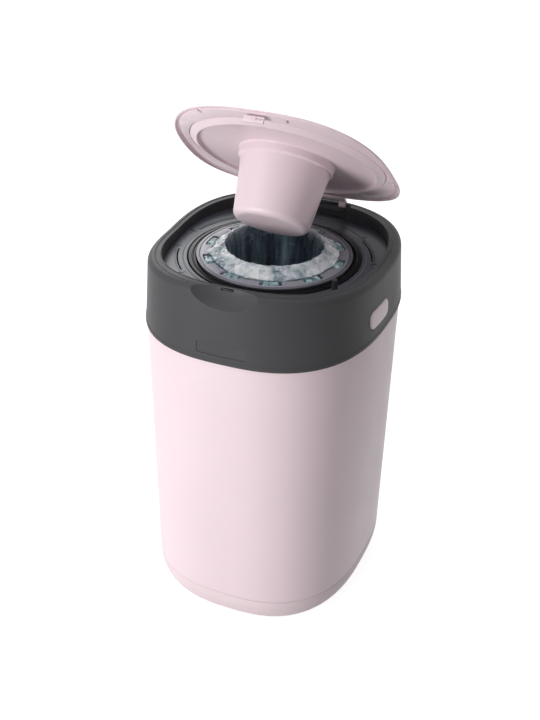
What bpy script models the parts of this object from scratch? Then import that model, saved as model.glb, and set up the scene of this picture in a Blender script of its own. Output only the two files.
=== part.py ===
"""Nappy bin: a tub with a lift-off head, a twist dial in its hinged lid and a film cassette on a turntable.

Metres, +Z up, front at -Y. The origin is the centre of the base, on the floor.
"""
from math import cos, pi, radians, sin

import bmesh
import bpy
from mathutils import Euler, Matrix, Vector

# Clearances
seat_gap = 0.0004
running_gap = 0.0006
overrun = 0.002

# Outline seen from above: a soft square that is a little deeper than wide and a little wider at the back
half_width = 0.125
depth_extra = 0.0124
outline_power = 2.65
back_flare_share = 0.05
outline_points = 48
turned_steps = 38

# Tub and base pan
tub_foot_inset = 0.0036
tub_top_inset = 0.0010
tub_wall = 0.0022
base_seam_z = 0.0385
base_seam_band = 0.0025
base_edge_inset = 0.027
base_wall = 0.0026
base_tongue_height = 0.008
spigot_inset = 0.0030
spigot_wall = 0.0020
spigot_height = 0.0100
seal_height = 0.0016
seal_wall = 0.0014

# Collar: the head's outer shell. The rim dips at the sides and rises to the front and the back
collar_bottom_z = 0.3415
collar_height = 0.0653
collar_wall = 0.0024
collar_lip_height = 0.0040
collar_lip_proud = 0.0005
collar_lean = 0.0037
collar_ring_shares = (0.03, 0.35, 0.7, 1.0)
rim_front_rise = 0.0124
rim_front_power = 1.25
rim_back_rise = 0.0053
rim_back_power = 2
shoulder_height = 0.0085
shoulder_width = 0.0071
shoulder_turn_shares = (0.3, 0.6, 0.85)
land_width = 0.0052
land_front_extra = 0.0024
bead_height = 0.0008
bead_width = 0.0007
ledge_width = 0.0045
ledge_thickness = 0.0020

# Thumb scoop, catch slot and bare name panel on the collar's front
scoop_x = 0.0
scoop_before_wall = 0.0046
scoop_over_rim = 0.0035
scoop_half_length = 0.0420
scoop_half_depth = 0.0222
scoop_half_height = 0.0225
catch_x = -0.0005
catch_below_rim = 0.0030
catch_width = 0.0130
catch_height = 0.0030
panel_x = -0.0015
panel_height_in_collar = 0.0145
panel_width = 0.0520
panel_height = 0.0125
panel_corner = 0.0022
panel_depth = 0.0006

# Deck, its round well and the film throat
deck_below_rim = 0.0103
deck_thickness = 0.0022
deck_step = 0.0006
deck_margin = 0.0182
well_lip = 0.0008
step_from_well = 0.0043
step_width = 0.0090
slit_from_well = 0.0105
slit_width = 0.0016
slit_centre_deg = 28.5
slit_half_span_deg = 14.0
well_wall = 0.0022
well_flange = 0.0075
well_flange_thickness = 0.0022
well_depth = 0.0525
well_floor_thickness = 0.0024
well_floor_width = 0.0346
throat_wall = 0.0024
throat_length = 0.0116
screw_radius = 0.0016
screw_head_radius = 0.0032
screw_head_height = 0.0018
screw_angles_deg = (45.0, 135.0, 225.0, 315.0)

# Soft gripper fingers under the throat
gripper_band = 0.0070
gripper_band_height = 0.0027
finger_reach = 0.0043
finger_drop = 0.0060
finger_thickness = 0.0014
finger_count = 16
finger_slot = 0.0022

# Domed peg beside the well
peg_angle_deg = -31.0
peg_from_well = 0.0050
peg_radius = 0.0032
peg_height = 0.0120
peg_taper_share = 0.84

# Turntable: a black ring whose flange covers the well's edge and carries one bright lip line
turntable_wall = 0.0020
turntable_floor = 0.0020
turntable_flange_width = 0.0076
turntable_flange_thickness = 0.0018
turntable_flange_rise = 0.0002
turntable_lip_rise = 0.0012
turntable_lip_width = 0.0009
turntable_lip_from_edge = 0.0043
turntable_hub_gap = 0.0039

# Cassette and its cap
cassette_wall = 0.0016
cassette_lip = 0.0019
cassette_lip_thickness = 0.0018
cassette_rise = 0.0028
cassette_hub_gap = 0.0022
cassette_hub_wall = 0.0014
cassette_hub_drop = 0.0030
cap_thickness = 0.0018
cap_skirt_drop = 0.0034
cap_skirt_wall = 0.0014
cap_band = 0.0048
cap_from_hub = 0.0034
tab_count = 10
tab_gap_share = 0.42

# Film: the pack in the cassette, and the sleeve drawn over the hub, draped inwards and down the throat
pack_pleats = 32
pack_gap = 0.0010
pack_drop = 0.0015
pack_fold_depth = 0.0010
film_thickness = 0.0009
film_crest_inset = 0.0051
film_crest_rise = 0.0135
film_leg_gap = 0.0016
film_end_radius = 0.0065
film_fall = 0.0693
film_points = 56
film_pleats = 14
film_pleat_depth = 0.0013
film_fold_shares = (0.7, 0.3)
film_tail_shares = (0.62, 0.42)
film_bell_shares = (0.42, 0.55)
film_drape_shares = (0.42, 0.70)
film_pleat_shares = (0.0, 1.0, 1.0, 1.0, 1.2, 1.0, 1.0, 0.5)
knot_radius = 0.0110
knot_height = 0.0200
knot_taper_share = 0.35
knot_power = 0.8

# Plunger, dish and cover of the twist dial, measured from the plane of the lid's edge
dial_margin = 0.0136
dial_lip = 0.0028
dial_flange_low = 0.0034
dial_flange_high = 0.0012
dish_ring_width = 0.0046
dish_ring_depth = 0.0040
dish_depth = 0.0014
dish_inner_depth_share = 0.8
plunger_clearance = 0.0089
plunger_draft = 0.0072
plunger_depth = 0.0745
plunger_edge = 0.0070
plunger_wall = 0.0022
plunger_ring_width = 0.0034
plunger_ring_height = 0.0100
plunger_fillet = 0.0050
finger_cup_gap = 0.0053
finger_cup_depth = 0.0220
finger_cup_draft = 0.0020
cover_wall = 0.0018
cover_corner = 0.0030
cover_ring_shares = (0.25, 0.6, 1.0)
cover_edge_share = 0.7
grip_half_width = 0.0075
grip_taper = 0.0015
grip_edge = 0.0016
grip_drop = 0.0012

# Lid: thin at its edge, with a skirt that dips with the rim at the sides
lid_open_deg = 39.3
lid_over_hinge = 0.0085
lid_side_overlap = 0.0030
lid_end_gap = 0.0011
lid_back_gap = 0.0026
lid_rim_gap = 0.0017
lid_side_dip = 0.0070
lid_back_dip = 0.0030
lid_dome = 0.0100
lid_edge_height = 0.0013
lid_edge_round = 0.0012
lid_edge_wall = 0.0014
liner_inset = 0.0042
liner_depth = 0.0036
liner_bevel = 0.0008
tab_x = -0.0010
tab_width = 0.0200
tab_thickness = 0.0024
tab_depth = 0.0060
tab_from_front = 0.0012
tab_slot_width = 0.0070
tab_slot_height = 0.0022
tab_slot_offset = 0.0055

# Hinge
hinge_rod_radius = 0.0018
hinge_rod_seat = 0.0025
hinge_pocket_half = 0.0405
hinge_pocket_front = 0.0055
hinge_pocket_back = 0.0054
hinge_pocket_depth = 0.0068
eye_from_pocket_end = 0.0065
eye_width = 0.0080
eye_radius = 0.0038
arm_thickness = 0.0026
arm_length = 0.0100

# Side buttons and the latch arms behind them
button_y = -0.0235
button_height_in_collar = 0.0240
button_half_length = 0.0220
button_half_height = 0.0095
button_corner = 0.0075
corner_limit_share = 0.85
button_proud = 0.0008
button_crown = 0.0010
button_gap = 0.0004
button_flange = 0.0014
button_flange_thickness = 0.0012
stem_half = 0.0035
latch_half_width = 0.0060
latch_thickness = 0.0018
latch_behind_spigot = 0.0006
latch_foot_length = 0.0100
latch_foot_thickness = 0.0018
latch_hook_height_in_collar = 0.0055
latch_hook_half_height = 0.0013
latch_window_gap = 0.0012

# Film cutter under the head
cutter_from_throat = 0.0185
cutter_half_length = 0.0180
cutter_half_depth = 0.0060
cutter_height = 0.0100
cutter_slot_half = 0.0012
cutter_slot_height = 0.0072
blade_half_length = 0.0150
blade_half_thickness = 0.0004
blade_height = 0.0064
blade_tooth = 0.0010
blade_teeth = 12

# Worked-out sizes: tub and collar
tub_foot_half = half_width - tub_foot_inset
tub_top_half = half_width - tub_top_inset
tub_top_z = collar_bottom_z - seat_gap
base_edge_rise = base_seam_z - base_seam_band
spigot_half = tub_top_half - spigot_inset
spigot_top_z = collar_bottom_z + spigot_height
half_depth = half_width + depth_extra
rim_side_z = collar_bottom_z + collar_height
collar_top_half = half_width - collar_lean
outer_bead_half = collar_top_half - shoulder_width
inner_bead_half = outer_bead_half - land_width
inner_extra = depth_extra - land_front_extra
inner_bead_depth = inner_bead_half + inner_extra
inner_wall_half = inner_bead_half - bead_width
front_bead_z = rim_side_z + rim_front_rise * (inner_bead_depth / half_depth) ** rim_front_power
scoop_y = -half_depth - scoop_before_wall
scoop_z = front_bead_z + scoop_over_rim
catch_z = front_bead_z - catch_below_rim
panel_z = collar_bottom_z + panel_height_in_collar
button_z = collar_bottom_z + button_height_in_collar
latch_hook_z = collar_bottom_z + latch_hook_height_in_collar

# Worked-out sizes: deck, well, turntable, cassette and film
deck_z = rim_side_z - deck_below_rim
deck_half = inner_wall_half - seat_gap
ledge_z = deck_z - deck_thickness - seat_gap
well_radius = deck_half - deck_margin
well_floor_z = deck_z - well_depth
step_inner_radius = well_radius + step_from_well
step_outer_radius = step_inner_radius + step_width
slit_radius = well_radius + slit_from_well
throat_radius = well_radius - well_floor_width
throat_outer = throat_radius + throat_wall
throat_low_z = well_floor_z - well_floor_thickness - throat_length
gripper_inner = throat_outer - gripper_band
grip_z = throat_low_z - gripper_band_height - finger_drop
cutter_y = -throat_outer - cutter_from_throat
turntable_radius = well_radius - well_lip
turntable_inner = turntable_radius - turntable_flange_width
turntable_bottom_z = well_floor_z + seat_gap
turntable_hub_radius = throat_radius + turntable_hub_gap
cassette_lip_radius = turntable_inner - running_gap
cassette_radius = cassette_lip_radius - cassette_lip
cassette_bottom_z = turntable_bottom_z + turntable_floor + seat_gap
cassette_top_z = deck_z + cassette_rise
cassette_inner = cassette_radius - cassette_wall
cassette_hub_radius = turntable_hub_radius + cassette_hub_gap
cassette_hub_outer = cassette_hub_radius + cassette_hub_wall
cap_bottom_z = cassette_top_z - cap_thickness
cap_inner_radius = cassette_hub_outer + cap_from_hub
film_crest_radius = throat_radius - film_crest_inset
film_crest_z = deck_z + film_crest_rise
film_leg_radius = cassette_hub_outer + film_leg_gap
film_end_z = grip_z - film_fall

# Worked-out sizes: lid, dial and hinge
lid_half_width = inner_bead_half + lid_side_overlap
lid_half_depth = inner_bead_depth - lid_end_gap
lid_depth_extra = lid_half_depth - lid_half_width
lid_plane_z = front_bead_z + lid_rim_gap
hinge_y = lid_half_depth + lid_back_gap
hinge_z = lid_plane_z - lid_over_hinge
hinge_half_length = hinge_pocket_half + hinge_rod_seat
eye_x = hinge_pocket_half - eye_from_pocket_end
dial_radius = lid_half_width - dial_margin
plunger_top_radius = throat_radius - plunger_clearance
plunger_foot_radius = plunger_top_radius - plunger_draft
finger_cup_radius = plunger_top_radius - finger_cup_gap

parts = bpy.data.collections.new("nappy_bin")
cutters = bpy.data.collections.new("cutters")


def clear_scene():
    for thing in list(bpy.data.objects):
        bpy.data.objects.remove(thing, do_unlink=True)
    bpy.context.scene.collection.children.link(parts)
    bpy.context.scene.collection.children.link(cutters)


def material(name, colour, roughness, metallic=0.0):
    """One Principled material per kind of plastic, metal or film."""
    found = bpy.data.materials.get(name)
    if found:
        return found
    made = bpy.data.materials.new(name)
    made.use_nodes = True
    shader = made.node_tree.nodes["Principled BSDF"]
    shader.inputs["Base Color"].default_value = (*colour, 1.0)
    shader.inputs["Roughness"].default_value = roughness
    shader.inputs["Metallic"].default_value = metallic
    return made


def pink():
    return material("pink_plastic", (0.83, 0.71, 0.75), 0.42)


def dark_grey():
    return material("dark_grey_plastic", (0.075, 0.077, 0.082), 0.45)


def blue_grey():
    return material("blue_grey_plastic", (0.16, 0.175, 0.20), 0.40)


def black():
    return material("black_plastic", (0.015, 0.015, 0.017), 0.25)


def place(name, mesh, look, parent=None, group=None):
    thing = bpy.data.objects.new(name, mesh)
    (group or parts).objects.link(thing)
    thing.data.materials.append(look)
    thing.parent = parent
    return thing


def as_cutter(thing):
    thing.hide_render = True
    thing.display_type = "WIRE"
    return thing


def smooth(mesh, sharp_deg=35.0):
    mesh.shade_smooth()
    mesh.set_sharp_from_angle(angle=radians(sharp_deg))


def finish_mesh(name, shape):
    """Turn a bmesh into a mesh whose faces point out."""
    bmesh.ops.recalc_face_normals(shape, faces=shape.faces[:])
    mesh = bpy.data.meshes.new(name)
    shape.to_mesh(mesh)
    shape.free()
    smooth(mesh)
    return mesh


def loft(name, rings, closed=False):
    """Skin rings of equal count; closed joins the last ring to the first, otherwise both ends are capped."""
    shape = bmesh.new()
    loops = [[shape.verts.new(point) for point in ring] for ring in rings]
    count = len(loops[0])
    pairs = list(zip(loops, loops[1:]))
    if closed:
        pairs.append((loops[-1], loops[0]))
    else:
        shape.faces.new(list(reversed(loops[0])))
        shape.faces.new(loops[-1])
    for low, high in pairs:
        for i in range(count):
            j = (i + 1) % count
            shape.faces.new((low[i], low[j], high[j], high[i]))
    return finish_mesh(name, shape)


def turned(name, profile, look, parent=None, closed=True, group=None, steps=turned_steps):
    """A profile of (radius, height) points turned about Z with a Screw modifier."""
    mesh = bpy.data.meshes.new(name)
    edges = [(i, i + 1) for i in range(len(profile) - 1)]
    if closed:
        edges.append((len(profile) - 1, 0))
    mesh.from_pydata([(radius, 0, height) for radius, height in profile], edges, [])
    thing = place(name, mesh, look, parent, group)
    screw = thing.modifiers.new("turn", "SCREW")
    screw.axis = "Z"
    screw.steps = steps
    screw.render_steps = steps
    screw.use_merge_vertices = True
    screw.merge_threshold = 0.00005
    screw.use_smooth_shade = True
    return thing


def cut(thing, *tools):
    """Take each tool away from the thing."""
    for tool in tools:
        step = thing.modifiers.new("cut " + tool.name, "BOOLEAN")
        step.operation = "DIFFERENCE"
        step.object = as_cutter(tool)
    return thing


def join(thing, *tools):
    """Add each tool to the thing as one body."""
    for tool in tools:
        step = thing.modifiers.new("join " + tool.name, "BOOLEAN")
        step.operation = "UNION"
        step.object = as_cutter(tool)
    return thing


def block(name, low, high, look, parent=None, group=None, bevel=0.0):
    """A box between two corners, with its edges rounded by a Bevel modifier where asked."""
    shape = bmesh.new()
    size = Vector(high) - Vector(low)
    middle = (Vector(high) + Vector(low)) / 2
    bmesh.ops.create_cube(shape, size=1.0, matrix=Matrix.Translation(middle) @ Matrix.Diagonal((*size, 1.0)))
    thing = place(name, finish_mesh(name, shape), look, parent, group)
    if bevel:
        soft = thing.modifiers.new("edges", "BEVEL")
        soft.width = bevel
        soft.segments = 2
    return thing


def rod(name, radius, start, end, look, parent=None, group=None, segments=20):
    """A round bar along X between two points."""
    shape = bmesh.new()
    length = (Vector(end) - Vector(start)).length
    turn = Matrix.Rotation(pi / 2, 4, "Y")
    middle = Matrix.Translation((Vector(start) + Vector(end)) / 2)
    bmesh.ops.create_cone(shape, cap_ends=True, segments=segments, radius1=radius, radius2=radius,
                          depth=length, matrix=middle @ turn)
    return place(name, finish_mesh(name, shape), look, parent, group)


def soft_square(half, extra, count=outline_points):
    """Points of the bin's outline, anticlockwise from +X."""
    points = []
    deep = half + extra
    for i in range(count):
        turn = 2 * pi * i / count
        c, s = cos(turn), sin(turn)
        reach = (abs(c / half) ** outline_power + abs(s / deep) ** outline_power) ** (-1 / outline_power)
        y = reach * s
        points.append((reach * c * (1 + back_flare_share * y / deep), y))
    return points


def rim_rise(y):
    """How far the rim stands above its lowest place, at the middle of the sides."""
    share = abs(y / half_depth)
    if y > 0:
        return rim_back_rise * share ** rim_back_power
    return rim_front_rise * share ** rim_front_power


def ring(half, z, lifted=False, extra=depth_extra):
    """A level ring of the outline, or one that follows the rim's rise."""
    return [(x, y, z + (rim_rise(y) if lifted else 0)) for x, y in soft_square(half, extra)]


def circle(radius, z, count=outline_points):
    return [(radius * cos(2 * pi * i / count), radius * sin(2 * pi * i / count), z) for i in range(count)]


def collar_half(z):
    """Half width of the collar's outer wall at a height below the shoulder."""
    low = collar_bottom_z + collar_lip_height
    share = (z - low) / (rim_side_z - shoulder_height - low)
    return half_width - collar_lean * share


def width_at(half, y):
    """Half width of an outline at a place along its depth."""
    deep = half + depth_extra
    return half * (1 - abs(y / deep) ** outline_power) ** (1 / outline_power) * (1 + back_flare_share * y / deep)


def side_wall(y, z):
    """Half width of the collar's outer surface at a depth and a height."""
    return width_at(collar_half(z), y)


def front_wall(x, z):
    """The y of the collar's front surface at a width and a height."""
    half = collar_half(z)
    deep = half + depth_extra
    return -deep * (1 - abs(x / half / (1 - back_flare_share)) ** outline_power) ** (1 / outline_power)


def rounded_rectangle(half_u, half_v, corner, arc_points=5, side_points=4):
    """Points of a rectangle with round corners; its long sides carry extra points so that they can follow a curve."""
    points = []
    for quarter, (u, v) in enumerate(((1, 1), (-1, 1), (-1, -1), (1, -1))):
        centre_u, centre_v = u * (half_u - corner), v * (half_v - corner)
        for i in range(arc_points):
            turn = pi / 2 * (quarter + i / (arc_points - 1))
            points.append((centre_u + corner * cos(turn), centre_v + corner * sin(turn)))
        if quarter in (0, 2):
            for i in range(1, side_points):
                points.append((centre_u * (1 - 2 * i / side_points), v * half_v))
    return points


def side_plug(name, sign, levels, look, parent=None, group=None):
    """A plug through the collar's side wall; each level is (how far out of the wall, half length, half height)."""
    rings = []
    for out, half_u, half_v in levels:
        corner = min(button_corner, half_v * corner_limit_share)
        outline = rounded_rectangle(half_u, half_v, corner)
        rings.append([(sign * (side_wall(button_y + u, button_z + v) + out), button_y + u, button_z + v)
                      for u, v in outline])
    return place(name, loft(name, rings), look, parent, group)


def build_tub():
    def wall_half(z):
        share = (z - base_seam_z) / (tub_top_z - base_seam_z)
        return tub_foot_half + (tub_top_half - tub_foot_half) * share

    foot_z = base_seam_z + seat_gap
    heights = [foot_z + (tub_top_z - foot_z) * i / 2 for i in range(3)]
    inner_top_z = tub_top_z - spigot_inset
    rings = [ring(wall_half(z), z) for z in heights]
    rings += [ring(spigot_half, tub_top_z), ring(spigot_half, spigot_top_z)]
    rings += [ring(spigot_half - spigot_wall, spigot_top_z), ring(spigot_half - spigot_wall, inner_top_z)]
    rings += [ring(wall_half(z) - tub_wall, z) for z in (inner_top_z - spigot_inset, foot_z)]
    tub = place("tub_shell", loft("tub_shell", rings, closed=True), pink())
    for side, sign in (("right", 1), ("left", -1)):
        inner, outer = sorted((sign * (spigot_half - spigot_inset * 2 - overrun), sign * (spigot_half + overrun)))
        reach = latch_hook_half_height + latch_window_gap
        window = block(f"latch_window_{side}",
                       (inner, button_y - latch_half_width - latch_window_gap, latch_hook_z - reach),
                       (outer, button_y + latch_half_width + latch_window_gap, latch_hook_z + reach),
                       pink(), group=cutters)
        cut(tub, window)


def build_base_pan():
    steps = 4
    outer = []
    inner = []
    for i in range(steps + 1):
        turn = pi / 2 * i / steps
        inset = base_edge_inset * (1 - sin(turn))
        height = base_edge_rise * (1 - cos(turn))
        outer.append(ring(tub_foot_half - inset, height))
        inner.append(ring(tub_foot_half - base_wall - inset, height * (1 - base_wall / base_edge_rise) + base_wall))
    tongue_half = tub_foot_half - tub_wall - seat_gap
    rings = outer + [ring(tub_foot_half, base_seam_z), ring(tongue_half, base_seam_z)]
    rings += [ring(tongue_half, base_seam_z + base_tongue_height)]
    rings += [ring(tongue_half - base_wall, base_seam_z + base_tongue_height)]
    rings += [ring(tongue_half - base_wall, base_edge_rise)] + list(reversed(inner[:-1]))
    place("base_pan", loft("base_pan", rings), material("pink_base_plastic", (0.78, 0.655, 0.70), 0.5))


def build_seal():
    outer = spigot_half - seat_gap
    low = spigot_top_z + seat_gap
    rings = [ring(outer, low), ring(outer, low + seal_height)]
    rings += [ring(outer - seal_wall, low + seal_height), ring(outer - seal_wall, low)]
    place("tub_collar_seal", loft("tub_collar_seal", rings, closed=True),
          material("soft_grey_rubber", (0.12, 0.12, 0.125), 0.8))


def build_collar():
    lip_z = collar_bottom_z + collar_lip_height
    inner_foot = half_width - collar_wall
    rings = [ring(half_width + collar_lip_proud, collar_bottom_z), ring(half_width + collar_lip_proud, lip_z)]
    shoulder_z = rim_side_z - shoulder_height
    for share in collar_ring_shares:
        z = lip_z + (shoulder_z - lip_z) * share
        rings.append([(x, y, z + rim_rise(y) * share ** 2) for x, y in soft_square(collar_half(z), depth_extra)])
    for turn_share in shoulder_turn_shares:
        turn = pi / 2 * turn_share
        half = collar_top_half - shoulder_width * (1 - cos(turn))
        rings.append(ring(half, shoulder_z + shoulder_height * sin(turn) - bead_height * turn_share, True))
    groove_z = rim_side_z - bead_height
    rings += [ring(outer_bead_half, rim_side_z, True), ring(outer_bead_half - bead_width, groove_z, True)]
    rings += [ring(inner_bead_half + bead_width, groove_z, True, inner_extra),
              ring(inner_bead_half, rim_side_z, True, inner_extra), ring(inner_wall_half, groove_z, True, inner_extra)]
    ledge_half = inner_wall_half - ledge_width
    ledge_low = ledge_z - ledge_thickness
    rings += [ring(half, z, False, inner_extra) for half, z in
              ((inner_wall_half, deck_z), (inner_wall_half, ledge_z), (ledge_half, ledge_z), (ledge_half, ledge_low))]
    rings += [ring(collar_half(ledge_low) - collar_wall, ledge_low), ring(inner_foot, lip_z)]
    rings += [ring(inner_foot, collar_bottom_z)]
    collar = place("collar_shell", loft("collar_shell", rings, closed=True), dark_grey())

    bowl_shape = bmesh.new()
    bowl_size = Matrix.Diagonal((scoop_half_length, scoop_half_depth, scoop_half_height, 1.0))
    bowl_place = Matrix.Translation((scoop_x, scoop_y, scoop_z))
    bmesh.ops.create_uvsphere(bowl_shape, u_segments=28, v_segments=14, radius=1.0, matrix=bowl_place @ bowl_size)
    bowl = place("thumb_scoop", finish_mesh("thumb_scoop", bowl_shape), dark_grey(), group=cutters)
    front_y = -(inner_wall_half + inner_extra)
    slot = block("catch_slot", (catch_x - catch_width / 2, front_y - shoulder_width, catch_z - catch_height / 2),
                 (catch_x + catch_width / 2, front_y + overrun, catch_z + catch_height / 2), dark_grey(), group=cutters)

    outline = rounded_rectangle(panel_width / 2, panel_height / 2, panel_corner)
    panel_rings = [[(panel_x + u, front_wall(panel_x + u, panel_z + v) + push, panel_z + v) for u, v in outline]
                   for push in (panel_depth, -overrun)]
    panel = place("panel_recess", loft("panel_recess", panel_rings), dark_grey(), group=cutters)

    pocket = block("hinge_pocket",
                   (-hinge_pocket_half, hinge_y - hinge_pocket_front, hinge_z - hinge_pocket_depth),
                   (hinge_pocket_half, hinge_y + hinge_pocket_back, hinge_z + hinge_pocket_depth * 2),
                   dark_grey(), group=cutters)
    rod_hole = rod("rod_hole", hinge_rod_radius + seat_gap, (-hinge_half_length - seat_gap, hinge_y, hinge_z),
                   (hinge_half_length + seat_gap, hinge_y, hinge_z), dark_grey(), group=cutters)
    cut(collar, bowl, slot, panel, pocket, rod_hole)
    for side, sign in (("right", 1), ("left", -1)):
        window_u, window_v = button_half_length + button_gap, button_half_height + button_gap
        levels = ((-collar_wall - overrun, window_u, window_v), (overrun, window_u, window_v))
        cut(collar, side_plug(f"button_window_{side}", sign, levels, dark_grey(), group=cutters))


def arc_block(name, radius, width, centre_deg, half_span_deg, low_z, high_z, steps=8):
    """A curved bar for cutting an arc slit."""
    rings = []
    for i in range(steps + 1):
        turn = radians(centre_deg - half_span_deg + 2 * half_span_deg * i / steps)
        c, s = cos(turn), sin(turn)
        near, far = radius - width / 2, radius + width / 2
        rings.append([(near * c, near * s, low_z), (far * c, far * s, low_z),
                      (far * c, far * s, high_z), (near * c, near * s, high_z)])
    return place(name, loft(name, rings), blue_grey(), group=cutters)


def build_deck():
    low = deck_z - deck_thickness
    dip = deck_z - deck_step
    rings = [ring(deck_half, low, False, inner_extra), ring(deck_half, deck_z, False, inner_extra)]
    rings += [circle(step_outer_radius, deck_z)]
    rings += [circle(step_outer_radius - deck_step, dip), circle(step_inner_radius + deck_step, dip)]
    rings += [circle(step_inner_radius, deck_z), circle(well_radius + well_lip, deck_z)]
    rings += [circle(well_radius, deck_z - well_lip), circle(well_radius, low)]
    deck = place("deck_plate", loft("deck_plate", rings, closed=True), blue_grey())
    for i, centre in enumerate((slit_centre_deg, -slit_centre_deg, 180 - slit_centre_deg, 180 + slit_centre_deg)):
        slit = arc_block(f"slit_{i}", slit_radius, slit_width, centre, slit_half_span_deg,
                         low - overrun, deck_z + overrun)
        cut(deck, slit)


def build_well():
    outer = well_radius + well_wall
    top = deck_z - deck_thickness - seat_gap
    floor_low = well_floor_z - well_floor_thickness
    profile = [(well_radius, top), (outer + well_flange, top), (outer + well_flange, top - well_flange_thickness),
               (outer, top - well_flange_thickness), (outer, floor_low), (throat_outer, floor_low),
               (throat_outer, throat_low_z), (throat_radius, throat_low_z), (throat_radius, well_floor_z),
               (well_radius, well_floor_z)]
    well = turned("well_tube", profile, dark_grey())
    screw_ring = outer + well_flange / 2
    for i, angle in enumerate(screw_angles_deg):
        x, y = screw_ring * cos(radians(angle)), screw_ring * sin(radians(angle))
        hole = turned(f"screw_hole_{i}", [(0, top + overrun), (screw_radius + seat_gap, top + overrun),
                                          (screw_radius + seat_gap, top - well_flange_thickness - overrun),
                                          (0, top - well_flange_thickness - overrun)],
                      dark_grey(), closed=False, group=cutters, steps=12)
        hole.location = (x, y, 0)
        cut(well, hole)
        head_top = top - well_flange_thickness - seat_gap
        screw = turned(f"deck_screw_{i + 1}",
                       [(0, top), (screw_radius, top), (screw_radius, head_top), (screw_head_radius, head_top),
                        (screw_head_radius, head_top - screw_head_height / 2),
                        (screw_radius, head_top - screw_head_height), (0, head_top - screw_head_height)],
                       material("screw_steel", (0.5, 0.5, 0.52), 0.35, 1.0), closed=False, steps=12)
        screw.location = (x, y, 0)


def build_gripper():
    top = throat_low_z - seat_gap
    band_outer = throat_outer
    band_inner = gripper_inner
    band_low = top - gripper_band_height
    tip = band_inner - finger_reach
    profile = [(band_inner, top), (band_outer, top), (band_outer, band_low),
               (band_inner + finger_thickness, band_low), (tip + finger_thickness, band_low - finger_drop),
               (tip, band_low - finger_drop), (band_inner - finger_thickness / 2, band_low)]
    fingers = turned("gripper_ring", profile, material("soft_dark_rubber", (0.05, 0.05, 0.055), 0.75))
    for i in range(finger_count // 2):
        turn = pi * (i + 0.5) / (finger_count // 2)
        bar = block(f"finger_slot_{i}", (-band_inner - finger_thickness, -finger_slot / 2, band_low - finger_drop * 2),
                    (band_inner + finger_thickness, finger_slot / 2, band_low - finger_thickness),
                    dark_grey(), group=cutters)
        bar.rotation_euler = (0, 0, turn)
        cut(fingers, bar)


def build_peg():
    base = deck_z + seat_gap
    top = base + peg_height
    narrow = peg_radius * peg_taper_share
    dome = [(narrow * sin(pi / 2 * i / 4), top - narrow + narrow * cos(pi / 2 * i / 4)) for i in range(5)]
    peg = turned("click_peg", dome + [(peg_radius, base), (0, base)], dark_grey(), closed=False, steps=16)
    reach = well_radius + peg_from_well
    peg.location = (reach * cos(radians(peg_angle_deg)), reach * sin(radians(peg_angle_deg)), 0)


def build_hinge_rod():
    rod("hinge_rod", hinge_rod_radius, (-hinge_half_length, hinge_y, hinge_z), (hinge_half_length, hinge_y, hinge_z),
        material("dark_steel", (0.06, 0.07, 0.08), 0.3, 0.8))


def build_latches():
    """Each button's stem ends just short of a springy arm whose hook sits in a window of the tub's spigot."""
    arm_outer = width_at(spigot_half - spigot_wall, button_y - latch_half_width) - latch_behind_spigot
    hook_outer = width_at(spigot_half, button_y) - seat_gap
    arm_top = ledge_z - ledge_thickness - seat_gap
    for side, sign in (("right", 1), ("left", -1)):
        near, far = sorted((sign * (arm_outer - latch_thickness), sign * arm_outer))
        arm = block(f"latch_arm_{side}", (near, button_y - latch_half_width, latch_hook_z - latch_hook_half_height),
                    (far, button_y + latch_half_width, arm_top), dark_grey())
        inner, outer = sorted((sign * (arm_outer - latch_thickness / 2), sign * hook_outer))
        hook = block(f"latch_hook_{side}",
                     (inner, button_y - latch_half_width + overrun / 2, latch_hook_z - latch_hook_half_height),
                     (outer, button_y + latch_half_width - overrun / 2, latch_hook_z + latch_hook_half_height),
                     dark_grey(), group=cutters)
        foot_in, foot_out = sorted((sign * (arm_outer - latch_foot_length), sign * (arm_outer - latch_thickness / 2)))
        foot = block(f"latch_foot_{side}", (foot_in, button_y - latch_half_width, arm_top - latch_foot_thickness),
                     (foot_out, button_y + latch_half_width, arm_top), dark_grey(), group=cutters)
        join(arm, hook, foot)

        inside = -collar_wall - running_gap
        behind = inside - button_flange_thickness
        stem_end = arm_outer + seat_gap * 2 - side_wall(button_y, button_z)
        long, tall = button_half_length, button_half_height
        levels = ((stem_end, stem_half, stem_half), (behind, stem_half, stem_half),
                  (behind, long + button_flange, tall + button_flange),
                  (inside, long + button_flange, tall + button_flange), (inside, long, tall),
                  (button_proud, long, tall),
                  (button_proud + button_crown / 2, long - button_crown, tall - button_crown))
        side_plug(f"button_{side}", sign, levels, material("pink_button_plastic", (0.80, 0.67, 0.72), 0.4))


def build_cutter():
    top = well_floor_z - well_floor_thickness - seat_gap
    guard = block("cutter_guard", (-cutter_half_length, cutter_y - cutter_half_depth, top - cutter_height),
                  (cutter_half_length, cutter_y + cutter_half_depth, top), dark_grey(), bevel=cutter_slot_half)
    slot = block("cutter_slot", (-cutter_half_length - overrun, cutter_y - cutter_slot_half,
                                 top - cutter_height - overrun),
                 (cutter_half_length + overrun, cutter_y + cutter_slot_half,
                  top - cutter_height + cutter_slot_height), dark_grey(), group=cutters)
    cut(guard, slot)
    high = top - cutter_height + cutter_slot_height - seat_gap
    outline = [(blade_half_length, high), (-blade_half_length, high)]
    for i in range(blade_teeth + 1):
        x = -blade_half_length + 2 * blade_half_length * i / blade_teeth
        outline.append((x, high - blade_height + (blade_tooth if i % 2 else 0)))
    rings = [[(x, cutter_y + side * blade_half_thickness, z) for x, z in outline] for side in (-1, 1)]
    place("cutter_blade", loft("cutter_blade", rings), material("blade_steel", (0.62, 0.63, 0.65), 0.25, 1.0))


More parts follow.
